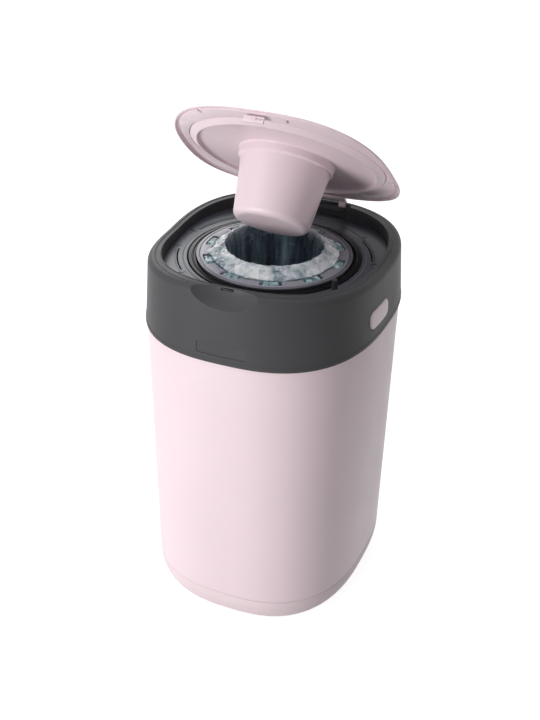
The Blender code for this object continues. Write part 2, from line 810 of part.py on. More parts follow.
def build_turntable():
    outer = turntable_radius
    inner = turntable_inner
    wall_outer = inner + turntable_wall
    floor = turntable_bottom_z + turntable_floor
    hub = turntable_hub_radius
    flange_z = deck_z + turntable_flange_rise
    flange_low = flange_z - turntable_flange_thickness
    lip = outer - turntable_lip_from_edge
    lip_z = deck_z + turntable_lip_rise
    profile = [(inner, flange_z), (lip - turntable_lip_width, flange_z), (lip - turntable_lip_width / 2, lip_z),
               (lip + turntable_lip_width / 2, lip_z), (lip + turntable_lip_width, flange_z), (outer, flange_z),
               (outer, flange_low), (wall_outer, flange_low), (wall_outer, turntable_bottom_z),
               (hub, turntable_bottom_z), (hub, floor), (inner, floor)]
    turned("turntable_ring", profile, black())


def build_cassette():
    outer = cassette_radius
    lip = cassette_lip_radius
    lip_low = cassette_top_z - cassette_lip_thickness
    floor = cassette_bottom_z + cassette_wall
    hub_outer = cassette_hub_outer
    hub_top = deck_z - cassette_hub_drop
    profile = [(outer - cassette_wall, cassette_top_z), (lip - seat_gap, cassette_top_z),
               (lip, cassette_top_z - seat_gap), (lip, lip_low), (outer, lip_low), (outer, cassette_bottom_z),
               (cassette_hub_radius, cassette_bottom_z), (cassette_hub_radius, hub_top), (hub_outer, hub_top),
               (hub_outer, floor), (outer - cassette_wall, floor)]
    turned("cassette_tub", profile, material("cassette_grey", (0.30, 0.31, 0.34), 0.35))


def build_cap():
    outer = cassette_inner - seat_gap
    skirt_low = cap_bottom_z - cap_skirt_drop
    profile = [(cap_inner_radius, cassette_top_z), (outer, cassette_top_z), (outer, skirt_low),
               (outer - cap_skirt_wall, skirt_low), (outer - cap_skirt_wall, cap_bottom_z),
               (cap_inner_radius, cap_bottom_z)]
    cap = turned("cassette_cap", profile, material("lavender_grey_plastic", (0.42, 0.42, 0.47), 0.38))
    band_inner = outer - cap_band
    pitch_deg = 360 / tab_count
    for i in range(tab_count):
        middle = (cap_inner_radius - overrun + band_inner) / 2
        gap = arc_block(f"tab_gap_{i}", middle, band_inner - cap_inner_radius + overrun, pitch_deg * i,
                        pitch_deg * tab_gap_share / 2, cap_bottom_z - overrun, cassette_top_z + overrun, steps=3)
        cut(cap, gap)


def wavy(radius, z, depth, folds, count, phase=0.0):
    """A circle whose radius goes in and out in folds of two unlike depths."""
    main, side = film_fold_shares
    points = []
    for i in range(count):
        turn = 2 * pi * i / count
        reach = radius + depth * (main * cos(folds * turn + phase) + side * cos((folds // 3) * turn + 2 * phase))
        points.append((reach * cos(turn), reach * sin(turn), z))
    return points


def build_film():
    look = material("teal_film", (0.35, 0.55, 0.58), 0.3)
    low = cassette_bottom_z + cassette_wall + seat_gap
    high = cap_bottom_z - pack_drop
    outer = cassette_inner - cap_skirt_wall - seat_gap - pack_gap - pack_fold_depth
    inner = cassette_hub_outer + pack_gap + pack_fold_depth
    count = pack_pleats * 2
    rings = [wavy(radius, z, pack_fold_depth, pack_pleats, count)
             for radius, z in ((outer, low), (outer, high), (inner, high), (inner, low))]
    place("film_pack", loft("film_pack", rings, closed=True), look)

    neck = gripper_inner - finger_reach - film_pleat_depth * 2
    tail_reach, tail_height = film_tail_shares
    bell_reach, bell_height = film_bell_shares
    drape_reach, drape_height = film_drape_shares
    drape_radius = film_crest_radius + (film_leg_radius - film_crest_radius) * drape_reach
    drape_z = deck_z + (film_crest_z - deck_z) * drape_height
    under = [(film_end_radius, film_end_z), (neck * tail_reach, film_end_z + (grip_z - film_end_z) * tail_height),
             (neck, grip_z), (neck + (film_crest_radius - neck) * bell_reach, grip_z + (deck_z - grip_z) * bell_height),
             (film_crest_radius - film_thickness, deck_z),
             (film_crest_radius + film_thickness / 2, film_crest_z - film_thickness * 2),
             (drape_radius - film_thickness, drape_z - film_thickness * 2), (film_leg_radius - film_thickness, deck_z)]
    outside = [(radius, z, share) for (radius, z), share in zip(under, film_pleat_shares)]
    inside = [(film_leg_radius, deck_z, film_pleat_shares[7]), (drape_radius, drape_z, film_pleat_shares[6]),
              (film_crest_radius, film_crest_z, film_pleat_shares[5])]
    inside += [(radius - film_thickness, z + (film_thickness if share == 0 else 0), share)
               for radius, z, share in reversed(outside[:5])]
    rings = [wavy(radius, z, film_pleat_depth * depth, film_pleats, film_points)
             for radius, z, depth in outside + inside]
    place("film_sleeve", loft("film_sleeve", rings), material("pale_blue_film", (0.62, 0.72, 0.77), 0.35))

    top = film_end_z - seat_gap
    steps = 8
    profile = [(0, top)]
    for i in range(steps + 1):
        share = i / steps
        radius = film_end_radius + (knot_radius - film_end_radius) * sin(pi * share) ** knot_power
        profile.append((radius * (1 - knot_taper_share * share), top - knot_height * share))
    profile.append((0, top - knot_height))
    turned("film_knot", profile, material("pale_blue_film", (0.62, 0.72, 0.77), 0.35), closed=False, steps=16)


def dome(radius):
    """Height of the lid's top surface above the plane of its edge."""
    return lid_edge_height + (lid_dome - lid_edge_height) * (1 - (radius / lid_half_width) ** 2)


def build_lid(hinge):
    """The lid is modelled about its own centre, in the plane of its edge, and carried by the hinge's empty."""
    centre = bpy.data.objects.new("lid_centre", None)
    parts.objects.link(centre)
    centre.parent = hinge
    centre.location = (0, -hinge_y, lid_over_hinge)

    def edge(inset, z):
        return [(x, y, z) for x, y in soft_square(lid_half_width - inset, lid_depth_extra)]

    def skirt(inset):
        points = []
        for x, y in soft_square(lid_half_width - inset, lid_depth_extra):
            share = min(abs(y / lid_half_depth), 1)
            end_dip = lid_back_dip if y > 0 else lid_edge_round / 2
            points.append((x, y, -end_dip - (lid_side_dip - end_dip) * (1 - share ** 2)))
        return points

    mouth = dial_radius + running_gap
    seat = mouth + dial_lip
    under_z = dial_flange_high + running_gap
    edge_z = lid_edge_height + lid_edge_round / 2 - lid_edge_wall
    rings = [skirt(lid_edge_round / 4), edge(0, lid_edge_round / 2), edge(lid_edge_round / 2, lid_edge_height),
             edge(liner_inset, lid_edge_height + lid_edge_round / 2), circle(mouth, dome(mouth)),
             circle(mouth, under_z), circle(seat, under_z), edge(liner_inset, edge_z),
             edge(lid_edge_round, edge_z - seat_gap), skirt(lid_edge_round)]
    place("lid_cap", loft("lid_cap", rings, closed=True), pink(), centre)

    rings = [edge(liner_inset + liner_bevel, -liner_depth), edge(liner_inset + liner_bevel / 2, edge_z - seat_gap),
             circle(seat, under_z - seat_gap), circle(seat, liner_bevel - liner_depth),
             circle(seat + liner_bevel, -liner_depth)]
    place("lid_liner", loft("lid_liner", rings, closed=True), pink(), centre)

    front = -lid_half_depth + liner_inset + tab_from_front
    tab = block("lid_tab", (tab_x - tab_width / 2, front, -liner_depth - seat_gap - tab_depth),
                (tab_x + tab_width / 2, front + tab_thickness, -liner_depth - seat_gap), pink(), centre)
    tab_hole = block("tab_hole", (tab_x + tab_slot_offset - tab_slot_width / 2, front - overrun,
                                  -liner_depth - tab_depth / 2 - tab_slot_height / 2),
                     (tab_x + tab_slot_offset + tab_slot_width / 2, front + tab_thickness + overrun,
                      -liner_depth - tab_depth / 2 + tab_slot_height / 2), pink(), centre, cutters)
    cut(tab, tab_hole)
    build_hinge_arm(hinge)
    return centre


def build_hinge_arm(hinge):
    """Two eyes round the rod, on one flat bar that is fixed under the liner's back edge."""
    liner_low = lid_over_hinge - liner_depth - seat_gap
    bar_low = liner_low - arm_thickness
    front = -eye_radius - arm_length
    arm = block("hinge_arm", (-eye_x - eye_width / 2, front, bar_low), (eye_x + eye_width / 2, -eye_radius, liner_low),
                pink(), hinge)
    for side, sign in (("right", 1), ("left", -1)):
        near, far = sign * eye_x - eye_width / 2, sign * eye_x + eye_width / 2
        eye = rod(f"eye_{side}", eye_radius, (near, 0, 0), (far, 0, 0), pink(), hinge, cutters)
        lug = block(f"lug_{side}", (near + seat_gap, front / 2, bar_low + seat_gap),
                    (far - seat_gap, -eye_radius / 2, liner_low - seat_gap), pink(), hinge, cutters)
        join(arm, eye, lug)
    bore = rod("eye_bore", hinge_rod_radius + seat_gap, (-eye_x - eye_width, 0, 0), (eye_x + eye_width, 0, 0),
               pink(), hinge, cutters)
    cut(arm, bore)


def build_dial(dial):
    """A stepped dish with a hollow plunger, closed from above by a domed cover with a finger well and a grip bar."""
    ring_outer = dial_radius - running_gap
    ring_inner = ring_outer - dish_ring_width
    neck_z = -plunger_ring_height
    slope = (plunger_top_radius - plunger_foot_radius) / (plunger_depth + neck_z)
    root_radius = plunger_top_radius + plunger_ring_width
    root_z = -dish_depth - plunger_fillet

    def plunger_radius(z):
        return plunger_top_radius + (z - neck_z) * slope

    foot_z = -plunger_depth
    outside = [(dial_radius + dial_lip, -dial_flange_low), (ring_outer, -dish_ring_depth),
               (ring_inner + dish_ring_depth - dish_depth, -dish_ring_depth), (ring_inner, -dish_depth),
               (ring_inner - plunger_fillet, -dish_depth * dish_inner_depth_share)]
    for i in range(4):
        turn = pi / 2 * i / 3
        outside.append((root_radius + plunger_fillet * (1 - sin(turn)),
                        -dish_depth - plunger_fillet * (1 - cos(turn))))
    outside += [(root_radius, neck_z + plunger_ring_width / 2), (root_radius - plunger_ring_width / 3, neck_z),
                (plunger_top_radius, neck_z - plunger_ring_width / 3)]
    outside.append((plunger_radius(foot_z + plunger_edge), foot_z + plunger_edge))
    for i in range(1, 5):
        turn = pi / 2 * i / 4
        outside.append((plunger_radius(foot_z + plunger_edge) - plunger_edge * (1 - cos(turn)),
                        foot_z + plunger_edge * (1 - sin(turn))))
    outside.append((0, foot_z))

    wall = plunger_wall
    inside = [(0, foot_z + wall), (plunger_foot_radius - plunger_edge, foot_z + wall),
              (plunger_radius(foot_z + plunger_edge) - wall, foot_z + plunger_edge)]
    inside += [(plunger_top_radius - wall, neck_z), (root_radius - wall, root_z),
               (root_radius + plunger_fillet, dial_flange_high / 2)]
    neck_top = dome(dial_radius) - cover_wall * cover_edge_share - seat_gap
    inside += [(ring_outer - dish_ring_depth, dial_flange_high / 2), (ring_outer - dish_ring_depth, neck_top),
               (ring_outer, neck_top), (ring_outer, dial_flange_high),
               (dial_radius + dial_lip, dial_flange_high)]
    turned("dial_dish", inside + outside, pink(), dial, closed=False)

    cup_foot = finger_cup_radius - finger_cup_draft
    floor = -finger_cup_depth
    corner = cover_corner
    cover = [(0, floor), (cup_foot - corner, floor), (cup_foot, floor + corner), (finger_cup_radius, 0),
             (finger_cup_radius + cover_wall, dome(finger_cup_radius))]
    dome_radii = [finger_cup_radius + (dial_radius - finger_cup_radius) * share for share in cover_ring_shares]
    cover += [(radius, dome(radius)) for radius in dome_radii]
    cover += [(radius, dome(radius) - cover_wall * (cover_edge_share if radius == dial_radius else 1))
              for radius in reversed(dome_radii)]
    cover += [(finger_cup_radius + cover_wall * 3 / 2, dome(finger_cup_radius) - cover_wall * 5 / 4),
              (finger_cup_radius + cover_wall, -corner / 3), (cup_foot + cover_wall, floor + corner / 2),
              (cup_foot - corner / 2, floor - cover_wall), (0, floor - cover_wall)]
    turned("dial_cover", cover, pink(), dial, closed=False)

    low, high = floor + seat_gap, dome(0) - grip_drop
    reach = cup_foot - corner
    sections = ((reach, grip_half_width, low), (reach + corner / 2, grip_half_width, floor + corner),
                (finger_cup_radius - grip_edge, grip_half_width - grip_taper, high - grip_edge * 2),
                (finger_cup_radius - grip_edge * 2, grip_half_width - grip_taper - grip_edge, high))
    rings = [[(u, v, z) for u, v in rounded_rectangle(along, across, across / 2, 4, 2)]
             for along, across, z in sections]
    place("dial_grip", loft("dial_grip", rings), pink(), dial)


def build():
    clear_scene()
    build_tub()
    build_base_pan()
    build_seal()
    build_collar()
    build_deck()
    build_well()
    build_gripper()
    build_peg()
    build_hinge_rod()
    build_latches()
    build_cutter()
    build_turntable()
    build_cassette()
    build_cap()
    build_film()
    hinge = bpy.data.objects.new("lid_hinge_axis", None)
    parts.objects.link(hinge)
    hinge.location = (0, hinge_y, hinge_z)
    hinge.rotation_euler = Euler((radians(-lid_open_deg), 0, 0))
    centre = build_lid(hinge)
    build_dial(centre)


build()
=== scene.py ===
from math import atan2, cos, exp, pi, radians, sin

import bmesh
import bpy
import numpy as np
from mathutils import Matrix, Vector, noise


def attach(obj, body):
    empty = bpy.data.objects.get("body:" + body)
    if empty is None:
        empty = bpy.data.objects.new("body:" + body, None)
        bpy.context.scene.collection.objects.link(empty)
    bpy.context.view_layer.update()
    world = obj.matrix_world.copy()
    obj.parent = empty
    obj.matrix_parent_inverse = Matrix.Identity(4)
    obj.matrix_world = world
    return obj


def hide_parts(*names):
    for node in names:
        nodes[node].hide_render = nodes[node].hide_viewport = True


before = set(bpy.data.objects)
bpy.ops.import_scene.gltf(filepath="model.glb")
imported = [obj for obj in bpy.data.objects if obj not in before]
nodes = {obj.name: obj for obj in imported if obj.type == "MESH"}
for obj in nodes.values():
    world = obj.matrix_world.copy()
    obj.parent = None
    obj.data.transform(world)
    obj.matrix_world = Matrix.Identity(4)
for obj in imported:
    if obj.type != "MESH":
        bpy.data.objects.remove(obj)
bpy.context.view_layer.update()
print("frame loaded,", len(nodes), "nodes")

# the bin's outline from above, which most pieces follow; lengths in metres
body = {
    "halfWidth": 0.125,
    "depthExtra": 0.0124,
    "innerExtra": 0.0100,
    "power": 2.65,
    "backFlare": 0.05,
    "points": 192,
    "turnedSteps": 128,
}

outExtra, inExtra = body["depthExtra"], body["innerExtra"]
hinge = {"y": 0.1205, "z": 0.4103603, "openDeg": 39.3, "lidOver": 0.0085}
lidTurn = (Matrix.Translation((0, hinge["y"], hinge["z"]))
           @ Matrix.Rotation(radians(-hinge["openDeg"]), 4, "X")
           @ Matrix.Translation((0, -hinge["y"], hinge["lidOver"])))


# small tools: outlines from above, and pieces made of rings

merge = 1e-6


def pickOnly(piece):
    bpy.ops.object.select_all(action="DESELECT")
    piece.select_set(True)
    bpy.context.view_layer.objects.active = piece


def added(operator, **values):
    # the object that an operator adds, with nothing else selected
    bpy.ops.object.select_all(action="DESELECT")
    operator(**values)
    return bpy.context.object


def outline(half, extra=outExtra):
    # points of the soft square, anticlockwise from +X
    deep, power, points = half + extra, body["power"], []
    for i in range(body["points"]):
        turn = 2 * pi * i / body["points"]
        c, s = cos(turn), sin(turn)
        reach = (abs(c / half) ** power + abs(s / deep) ** power) ** (-1 / power)
        y = reach * s
        points.append((reach * c * (1 + body["backFlare"] * y / deep), y))
    return points


def circle(radius):
    turns = [2 * pi * i / body["points"] for i in range(body["points"])]
    return [(radius * cos(t), radius * sin(t)) for t in turns]


def quarters(steps):
    # the turns of a quarter circle, for rounded stretches
    return [pi / 2 * i / steps for i in range(steps + 1)]


def levelRing(points, z):
    return [(x, y, z) for x, y in points]


def mixed(first, second, share):
    return [(a[0] + (b[0] - a[0]) * share, a[1] + (b[1] - a[1]) * share) for a, b in zip(first, second)]


def softened(profile, steps=4, closed=True):
    # each profile point is (reach, height, round, ...); a corner with a round becomes a small arc
    out, count = [], len(profile)
    for i, point in enumerate(profile):
        here, soft = Vector(point[:2]), point[2]
        extras = np.array(point[3:], float)
        if soft <= 0 or (not closed and i in (0, count - 1)):
            out.append((here.x, here.y, *extras))
            continue
        before, after = Vector(profile[i - 1][:2]), Vector(profile[(i + 1) % count][:2])
        toBefore, toAfter = before - here, after - here
        reach = min(soft, toBefore.length * 0.48, toAfter.length * 0.48)
        start, end = here + toBefore.normalized() * reach, here + toAfter.normalized() * reach
        for k in range(steps + 1):
            t = k / steps
            p = start * (1 - t) ** 2 + here * 2 * t * (1 - t) + end * t ** 2
            out.append((p.x, p.y, *extras))
    return out


def ringAngle(p):
    return (atan2(p[1], p[0]) + 1e-4) % (2 * pi)


def stackRings(name, rings, joined=True):
    # a circle is pulled onto the first ring, then extruded and pulled onto each next one
    piece = added(bpy.ops.mesh.primitive_circle_add, vertices=len(rings[0]), radius=1)
    piece.name = piece.data.name = name
    bpy.ops.object.mode_set(mode="EDIT")
    bpy.ops.mesh.select_mode(type="VERT")
    bpy.ops.mesh.select_all(action="SELECT")
    for step, ring in enumerate(rings):
        if step:
            bpy.ops.mesh.extrude_region_move()
        shape = bmesh.from_edit_mesh(piece.data)
        loop = sorted((v for v in shape.verts if v.select), key=lambda v: ringAngle(v.co))
        for v, p in zip(loop, sorted(ring, key=ringAngle)):
            v.co = p
        bmesh.update_edit_mesh(piece.data)
    if joined:
        bpy.ops.mesh.select_all(action="DESELECT")
        bpy.ops.mesh.select_non_manifold(extend=False)
        bpy.ops.mesh.bridge_edge_loops()
    else:
        for edgeRing in (rings[0], rings[-1]):
            low = Vector(edgeRing[0])
            shape = bmesh.from_edit_mesh(piece.data)
            for v in shape.verts:
                v.select = v.is_boundary and abs(v.co.z - low.z) < merge
            shape.select_flush_mode()
            bmesh.update_edit_mesh(piece.data)
            bpy.ops.mesh.select_mode(type="VERT")
            bpy.ops.mesh.edge_face_add()
    bpy.ops.mesh.select_all(action="SELECT")
    bpy.ops.mesh.normals_make_consistent(inside=False)
    bpy.ops.object.mode_set(mode="OBJECT")
    return piece


def spinProfile(name, points, steps=body["turnedSteps"]):
    # a circle is pulled onto the profile, which is then spun round the upright axis
    piece = added(bpy.ops.mesh.primitive_circle_add, vertices=len(points), radius=1)
    piece.name = piece.data.name = name
    for v, p in zip(piece.data.vertices, points):
        v.co = (p[0], 0, p[1])
    bpy.ops.object.mode_set(mode="EDIT")
    bpy.ops.mesh.select_mode(type="EDGE")
    shape = bmesh.from_edit_mesh(piece.data)
    for e in shape.edges:
        e.select = all(v.co.x < 1e-7 for v in e.verts)
    bmesh.update_edit_mesh(piece.data)
    if any(e.select for e in shape.edges):
        bpy.ops.mesh.delete(type="EDGE")
    bpy.ops.mesh.select_all(action="SELECT")
    bpy.ops.mesh.spin(steps=steps, angle=2 * pi, center=(0, 0, 0), axis=(0, 0, 1))
    bpy.ops.mesh.select_all(action="SELECT")
    bpy.ops.mesh.remove_doubles(threshold=merge)
    bpy.ops.mesh.normals_make_consistent(inside=False)
    bpy.ops.object.mode_set(mode="OBJECT")
    return piece


def cutWith(piece, cutter):
    step = piece.modifiers.new("cut", "BOOLEAN")
    step.operation, step.solver, step.object = "DIFFERENCE", "EXACT", cutter
    pickOnly(piece)
    bpy.ops.object.modifier_apply(modifier=step.name)
    bpy.data.objects.remove(cutter, do_unlink=True)


def cutBlock(low, high, soft=0.0):
    tool = added(bpy.ops.mesh.primitive_cube_add, size=1, location=(Vector(low) + Vector(high)) / 2)
    tool.dimensions = Vector(high) - Vector(low)
    bpy.ops.object.transform_apply(location=True, rotation=True, scale=True)
    if soft:
        bpy.ops.object.mode_set(mode="EDIT")
        bpy.ops.mesh.select_all(action="SELECT")
        bpy.ops.mesh.bevel(offset=soft, segments=3, affect="EDGES")
        bpy.ops.object.mode_set(mode="OBJECT")
    return tool


def settle(piece, carrier, look, node, turn=None, deg=32):
    # puts a finished piece in its place, dresses it and lets it ride on its body
    if turn is not None:
        piece.data.transform(turn)
    pickOnly(piece)
    bpy.ops.object.shade_smooth_by_angle(angle=radians(deg))
    piece.data.materials.clear()
    piece.data.materials.append(look)
    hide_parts(node)
    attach(piece, carrier)


ease = {"flatDeg": 0.4, "edgeDeg": 30, "segments": 3}


def smoothCopy(node, name, edge=0.0):
    # a merged copy of a small CAD piece, with its edges rounded
    piece = nodes[node].copy()
    piece.data = nodes[node].data.copy()
    piece.parent = None
    for key in list(piece.keys()):
        del piece[key]
    piece.name = piece.data.name = name
    bpy.context.scene.collection.objects.link(piece)
    pickOnly(piece)
    bpy.ops.object.mode_set(mode="EDIT")
    bpy.ops.mesh.select_all(action="SELECT")
    bpy.ops.mesh.remove_doubles(threshold=merge)
    bpy.ops.mesh.dissolve_limited(angle_limit=radians(ease["flatDeg"]))
    bpy.ops.object.mode_set(mode="OBJECT")
    if edge:
        soft = piece.modifiers.new("edges", "BEVEL")
        soft.width, soft.segments = edge, ease["segments"]
        soft.limit_method, soft.angle_limit = "ANGLE", radians(ease["edgeDeg"])
        bpy.ops.object.modifier_apply(modifier=soft.name)
    return piece


# materials: the part that is the same for every plastic, metal or film, and then one look for each

mould = {"driftScale": 9, "speckScale": 0.45, "speckTint": 1.25, "glossScale": 24, "rubScale": 60,
         "rubStretch": (1, 1, 0.12), "rubDepth": -0.05, "waveScale": 14, "wave": 0.05, "waveDeep": 0.0008,
         "grainDeep": 0.00012, "specular": 0.5, "glowDeep": (0.004, 0.002, 0.002)}
brush = {"scale": 420, "along": (0.05, 1, 1), "bump": 0.15, "deep": 0.0001}
# streakScale, streakStretch, the streak lift and throat set the painted shade inside the sleeve's throat and
# its painted streak highlights
film = {"warpScale": 0.5, "warpShare": 0.012, "edgeWide": 0.12, "cloudScale": 0.8, "cloudBump": 0.8,
        "cloudDeep": 0.0020, "edgeBump": 0.7, "edgeDeep": 0.0005, "coat": 0.5, "coatRough": 0.12,
        "glow": 0.15, "glowDeep": (0.002, 0.003, 0.004), "streakScale": 70, "streakStretch": (1, 1, 0.10),
        "deepTint": 2.4, "throat": (0.0494, 0.0520)}


def setInputs(node, values):
    for key, value in values.items():
        node.inputs[key].default_value = value


class Nodes:
    def __init__(self, name):
        self.mat = bpy.data.materials.new(name)
        self.mat.use_nodes = True
        self.tree = self.mat.node_tree
        self.shader = self.tree.nodes["Principled BSDF"]
        self.place = self.add("ShaderNodeTexCoord").outputs["Object"]

    def add(self, kind, **values):
        node = self.tree.nodes.new(kind)
        for key, value in values.items():
            setattr(node, key, value)
        return node

    def link(self, a, b):
        self.tree.links.new(a, b)

    def dress(self, **sockets):
        # what drives the shader's colour, roughness and normal
        for key, socket in sockets.items():
            self.link(socket, self.shader.inputs["Base Color" if key == "colour" else key.capitalize()])

    def noise(self, scale, detail=2.0, rough=0.5, stretch=None):
        n, source = self.add("ShaderNodeTexNoise"), self.place
        setInputs(n, {"Scale": scale, "Detail": detail, "Roughness": rough})
        if stretch:
            m = self.add("ShaderNodeMapping")
            m.inputs["Scale"].default_value = stretch
            self.link(source, m.inputs["Vector"])
            source = m.outputs["Vector"]
        self.link(source, n.inputs["Vector"])
        return n.outputs["Fac"]

    def ramp(self, source, stops):
        r = self.add("ShaderNodeValToRGB")
        points = r.color_ramp.elements
        while len(points) < len(stops):
            points.new(0.5)
        for point, (where, colour) in zip(points, stops):
            point.position, point.color = where, (*colour, 1)
        self.link(source, r.inputs["Fac"])
        return r.outputs["Color"]

    def spread(self, source, low, high, fromLow=0.3, fromHigh=0.7):
        m = self.add("ShaderNodeMapRange")
        setInputs(m, {"From Min": fromLow, "From Max": fromHigh, "To Min": low, "To Max": high})
        self.link(source, m.inputs["Value"])
        return m.outputs["Result"]

    def bump(self, height, strength, distance, after=None):
        b = self.add("ShaderNodeBump")
        setInputs(b, {"Strength": strength, "Distance": distance})
        self.link(height, b.inputs["Height"])
        if after is not None:
            self.link(after, b.inputs["Normal"])
        return b.outputs["Normal"]

    def mix(self, share, first, second):
        m = self.add("ShaderNodeMix", data_type="RGBA")
        for socket, value in ((m.inputs[0], share), (m.inputs[6], first), (m.inputs[7], second)):
            if isinstance(value, bpy.types.NodeSocket):
                self.link(value, socket)
            else:
                socket.default_value = (*value, 1)
        return m.outputs[2]

    def glowThrough(self, weight, deep):
        setInputs(self.shader, {"Subsurface Weight": weight, "Subsurface Radius": deep,
                                "Subsurface Scale": 0.5})


def tint(colour, factor):
    return tuple(min(1.0, c * factor) for c in colour)


def mouldedPlastic(name, look):
    # spark grain of the mould, slow drift of colour and gloss, and faint rub marks
    n = Nodes(name)
    colour, drift = look["colour"], look["drift"]
    base = n.ramp(n.noise(mould["driftScale"], 3), [(0.3, tint(colour, 1 - drift)),
                                                    (0.7, tint(colour, 1 + drift))])
    speck = n.spread(n.noise(look["grain"] * mould["speckScale"], 4, 0.6), 0, look["speck"], 0.45, 0.75)
    rub = n.spread(n.noise(mould["rubScale"], 5, 0.7, mould["rubStretch"]), 0, 1, 0.62, 0.75)
    rubbed = n.add("ShaderNodeMath", operation="MULTIPLY_ADD")
    n.link(rub, rubbed.inputs[0])
    rubbed.inputs[1].default_value = mould["rubDepth"]
    n.link(n.spread(n.noise(mould["glossScale"], 4, 0.6), look["rough"] - 0.04, look["rough"] + 0.05),
           rubbed.inputs[2])
    wave = n.bump(n.noise(mould["waveScale"], 2), mould["wave"], mould["waveDeep"])
    n.dress(colour=n.mix(speck, base, tint(colour, mould["speckTint"])), roughness=rubbed.outputs[0],
            normal=n.bump(n.noise(look["grain"], 2, 0.6), look["grainDepth"], mould["grainDeep"], wave))
    n.shader.inputs["Specular IOR Level"].default_value = look.get("specular", mould["specular"])
    if "soft" in look:
        n.glowThrough(look["soft"], mould["glowDeep"])
    return n.mat


def brushedMetal(name, look):
    n = Nodes(name)
    colour, lines = look["colour"], n.noise(brush["scale"], 3, 0.6, look.get("along", brush["along"]))
    n.dress(colour=n.ramp(lines, [(0.3, tint(colour, 0.85)), (0.7, tint(colour, 1.1))]),
            roughness=n.spread(lines, look["rough"] - 0.06, look["rough"] + 0.08),
            normal=n.bump(lines, brush["bump"], brush["deep"]))
    n.shader.inputs["Metallic"].default_value = 1.0
    return n.mat


def plasticFilm(name, look):
    # thin crinkled film: fine creases, made pale on the folds by a painted highlight, and darker between them
    n = Nodes(name)
    crease = n.add("ShaderNodeTexVoronoi", feature="DISTANCE_TO_EDGE")
    crease.inputs["Scale"].default_value = look["crease"]
    warp = n.add("ShaderNodeTexNoise")
    warp.inputs["Scale"].default_value = look["crease"] * film["warpScale"]
    shift = n.add("ShaderNodeMix", data_type="VECTOR")
    shift.inputs[0].default_value = film["warpShare"]
    for source, socket in ((n.place, warp.inputs["Vector"]), (n.place, shift.inputs[4]),
                           (warp.outputs["Color"], shift.inputs[5]),
                           (shift.outputs[1], crease.inputs["Vector"])):
        n.link(source, socket)
    edge = n.spread(crease.outputs["Distance"], 1, 0, 0.0, film["edgeWide"])
    cloud = n.noise(look["crease"] * film["cloudScale"], 2, 0.5)
    base = n.ramp(cloud, [(0.34, look["dark"]), (0.46, look["colour"]), (0.62, look["pale"])])
    # the crease lines get a painted highlight mixed into the colour
    colour = n.mix(n.spread(edge, 0, look["creaseHighlight"], 0, 1), base, look["pale"])
    if "deep" in look:
        # deep in the throat the film is painted dark as shade, and only paler painted streaks along the folds
        # stand in for their highlights
        flat = n.add("ShaderNodeVectorMath", operation="MULTIPLY")
        flat.inputs[1].default_value = (1, 1, 0)
        n.link(n.place, flat.inputs[0])
        reach = n.add("ShaderNodeVectorMath", operation="LENGTH")
        n.link(flat.outputs["Vector"], reach.inputs[0])
        paintedStreak = n.noise(film["streakScale"], 4, 0.6, film["streakStretch"])
        inner = n.ramp(paintedStreak, [(0.36, look["deep"]), (0.50, tint(look["deep"], film["deepTint"])),
                                (0.60, look["dark"]), (0.72, look["colour"])])
        # inside the throat's reach the painted shade and streaks replace the film's own colour
        colour = n.mix(n.spread(reach.outputs["Value"], 0, 1, *film["throat"]), inner, colour)
    big = n.bump(cloud, film["cloudBump"], film["cloudDeep"])
    n.dress(colour=colour, roughness=n.spread(cloud, look["rough"] - 0.06, look["rough"] + 0.1),
            normal=n.bump(edge, film["edgeBump"], film["edgeDeep"], big))
    setInputs(n.shader, {"Coat Weight": film["coat"], "Coat Roughness": film["coatRough"]})
    n.glowThrough(film["glow"], film["glowDeep"])
    return n.mat


pinkLook = {"colour": (0.83, 0.68, 0.725), "rough": 0.40, "grain": 2600, "grainDepth": 0.10, "drift": 0.012,
            "speck": 0.03, "soft": 0.08}
basePinkLook = {**pinkLook, "colour": (0.80, 0.665, 0.70), "rough": 0.5, "grain": 1800, "grainDepth": 0.2}
buttonPinkLook = {**pinkLook, "colour": (0.80, 0.66, 0.70), "rough": 0.36}
collarLook = {"colour": (0.060, 0.060, 0.064), "rough": 0.46, "grain": 2200, "grainDepth": 0.22,
              "drift": 0.05, "speck": 0.06, "specular": 0.16}
deckLook = {"colour": (0.062, 0.072, 0.090), "rough": 0.34, "grain": 2200, "grainDepth": 0.15, "drift": 0.05,
            "speck": 0.05, "specular": 0.4}
blackLook = {"colour": (0.004, 0.004, 0.005), "rough": 0.24, "grain": 3000, "grainDepth": 0.05, "drift": 0.1,
             "speck": 0.02, "specular": 0.12}
capLook = {"colour": (0.31, 0.32, 0.37), "rough": 0.30, "grain": 2400, "grainDepth": 0.12, "drift": 0.05,
           "speck": 0.05}
cassetteLook = {**capLook, "colour": (0.15, 0.155, 0.18)}
rubberLook = {"colour": (0.045, 0.045, 0.048), "rough": 0.72, "grain": 1500, "grainDepth": 0.3, "drift": 0.1,
              "speck": 0.1, "specular": 0.3}
# the sleeve's deep colour is painted shade for the inside of the throat
sleeveLook = {"colour": (0.55, 0.64, 0.70), "pale": (0.88, 0.92, 0.94), "dark": (0.22, 0.32, 0.37),
              "rough": 0.20, "crease": 95, "creaseHighlight": 0.45, "deep": (0.045, 0.062, 0.082)}
packLook = {"colour": (0.13, 0.32, 0.35), "pale": (0.62, 0.78, 0.80), "dark": (0.03, 0.11, 0.13),
            "rough": 0.20, "crease": 160, "creaseHighlight": 0.5}

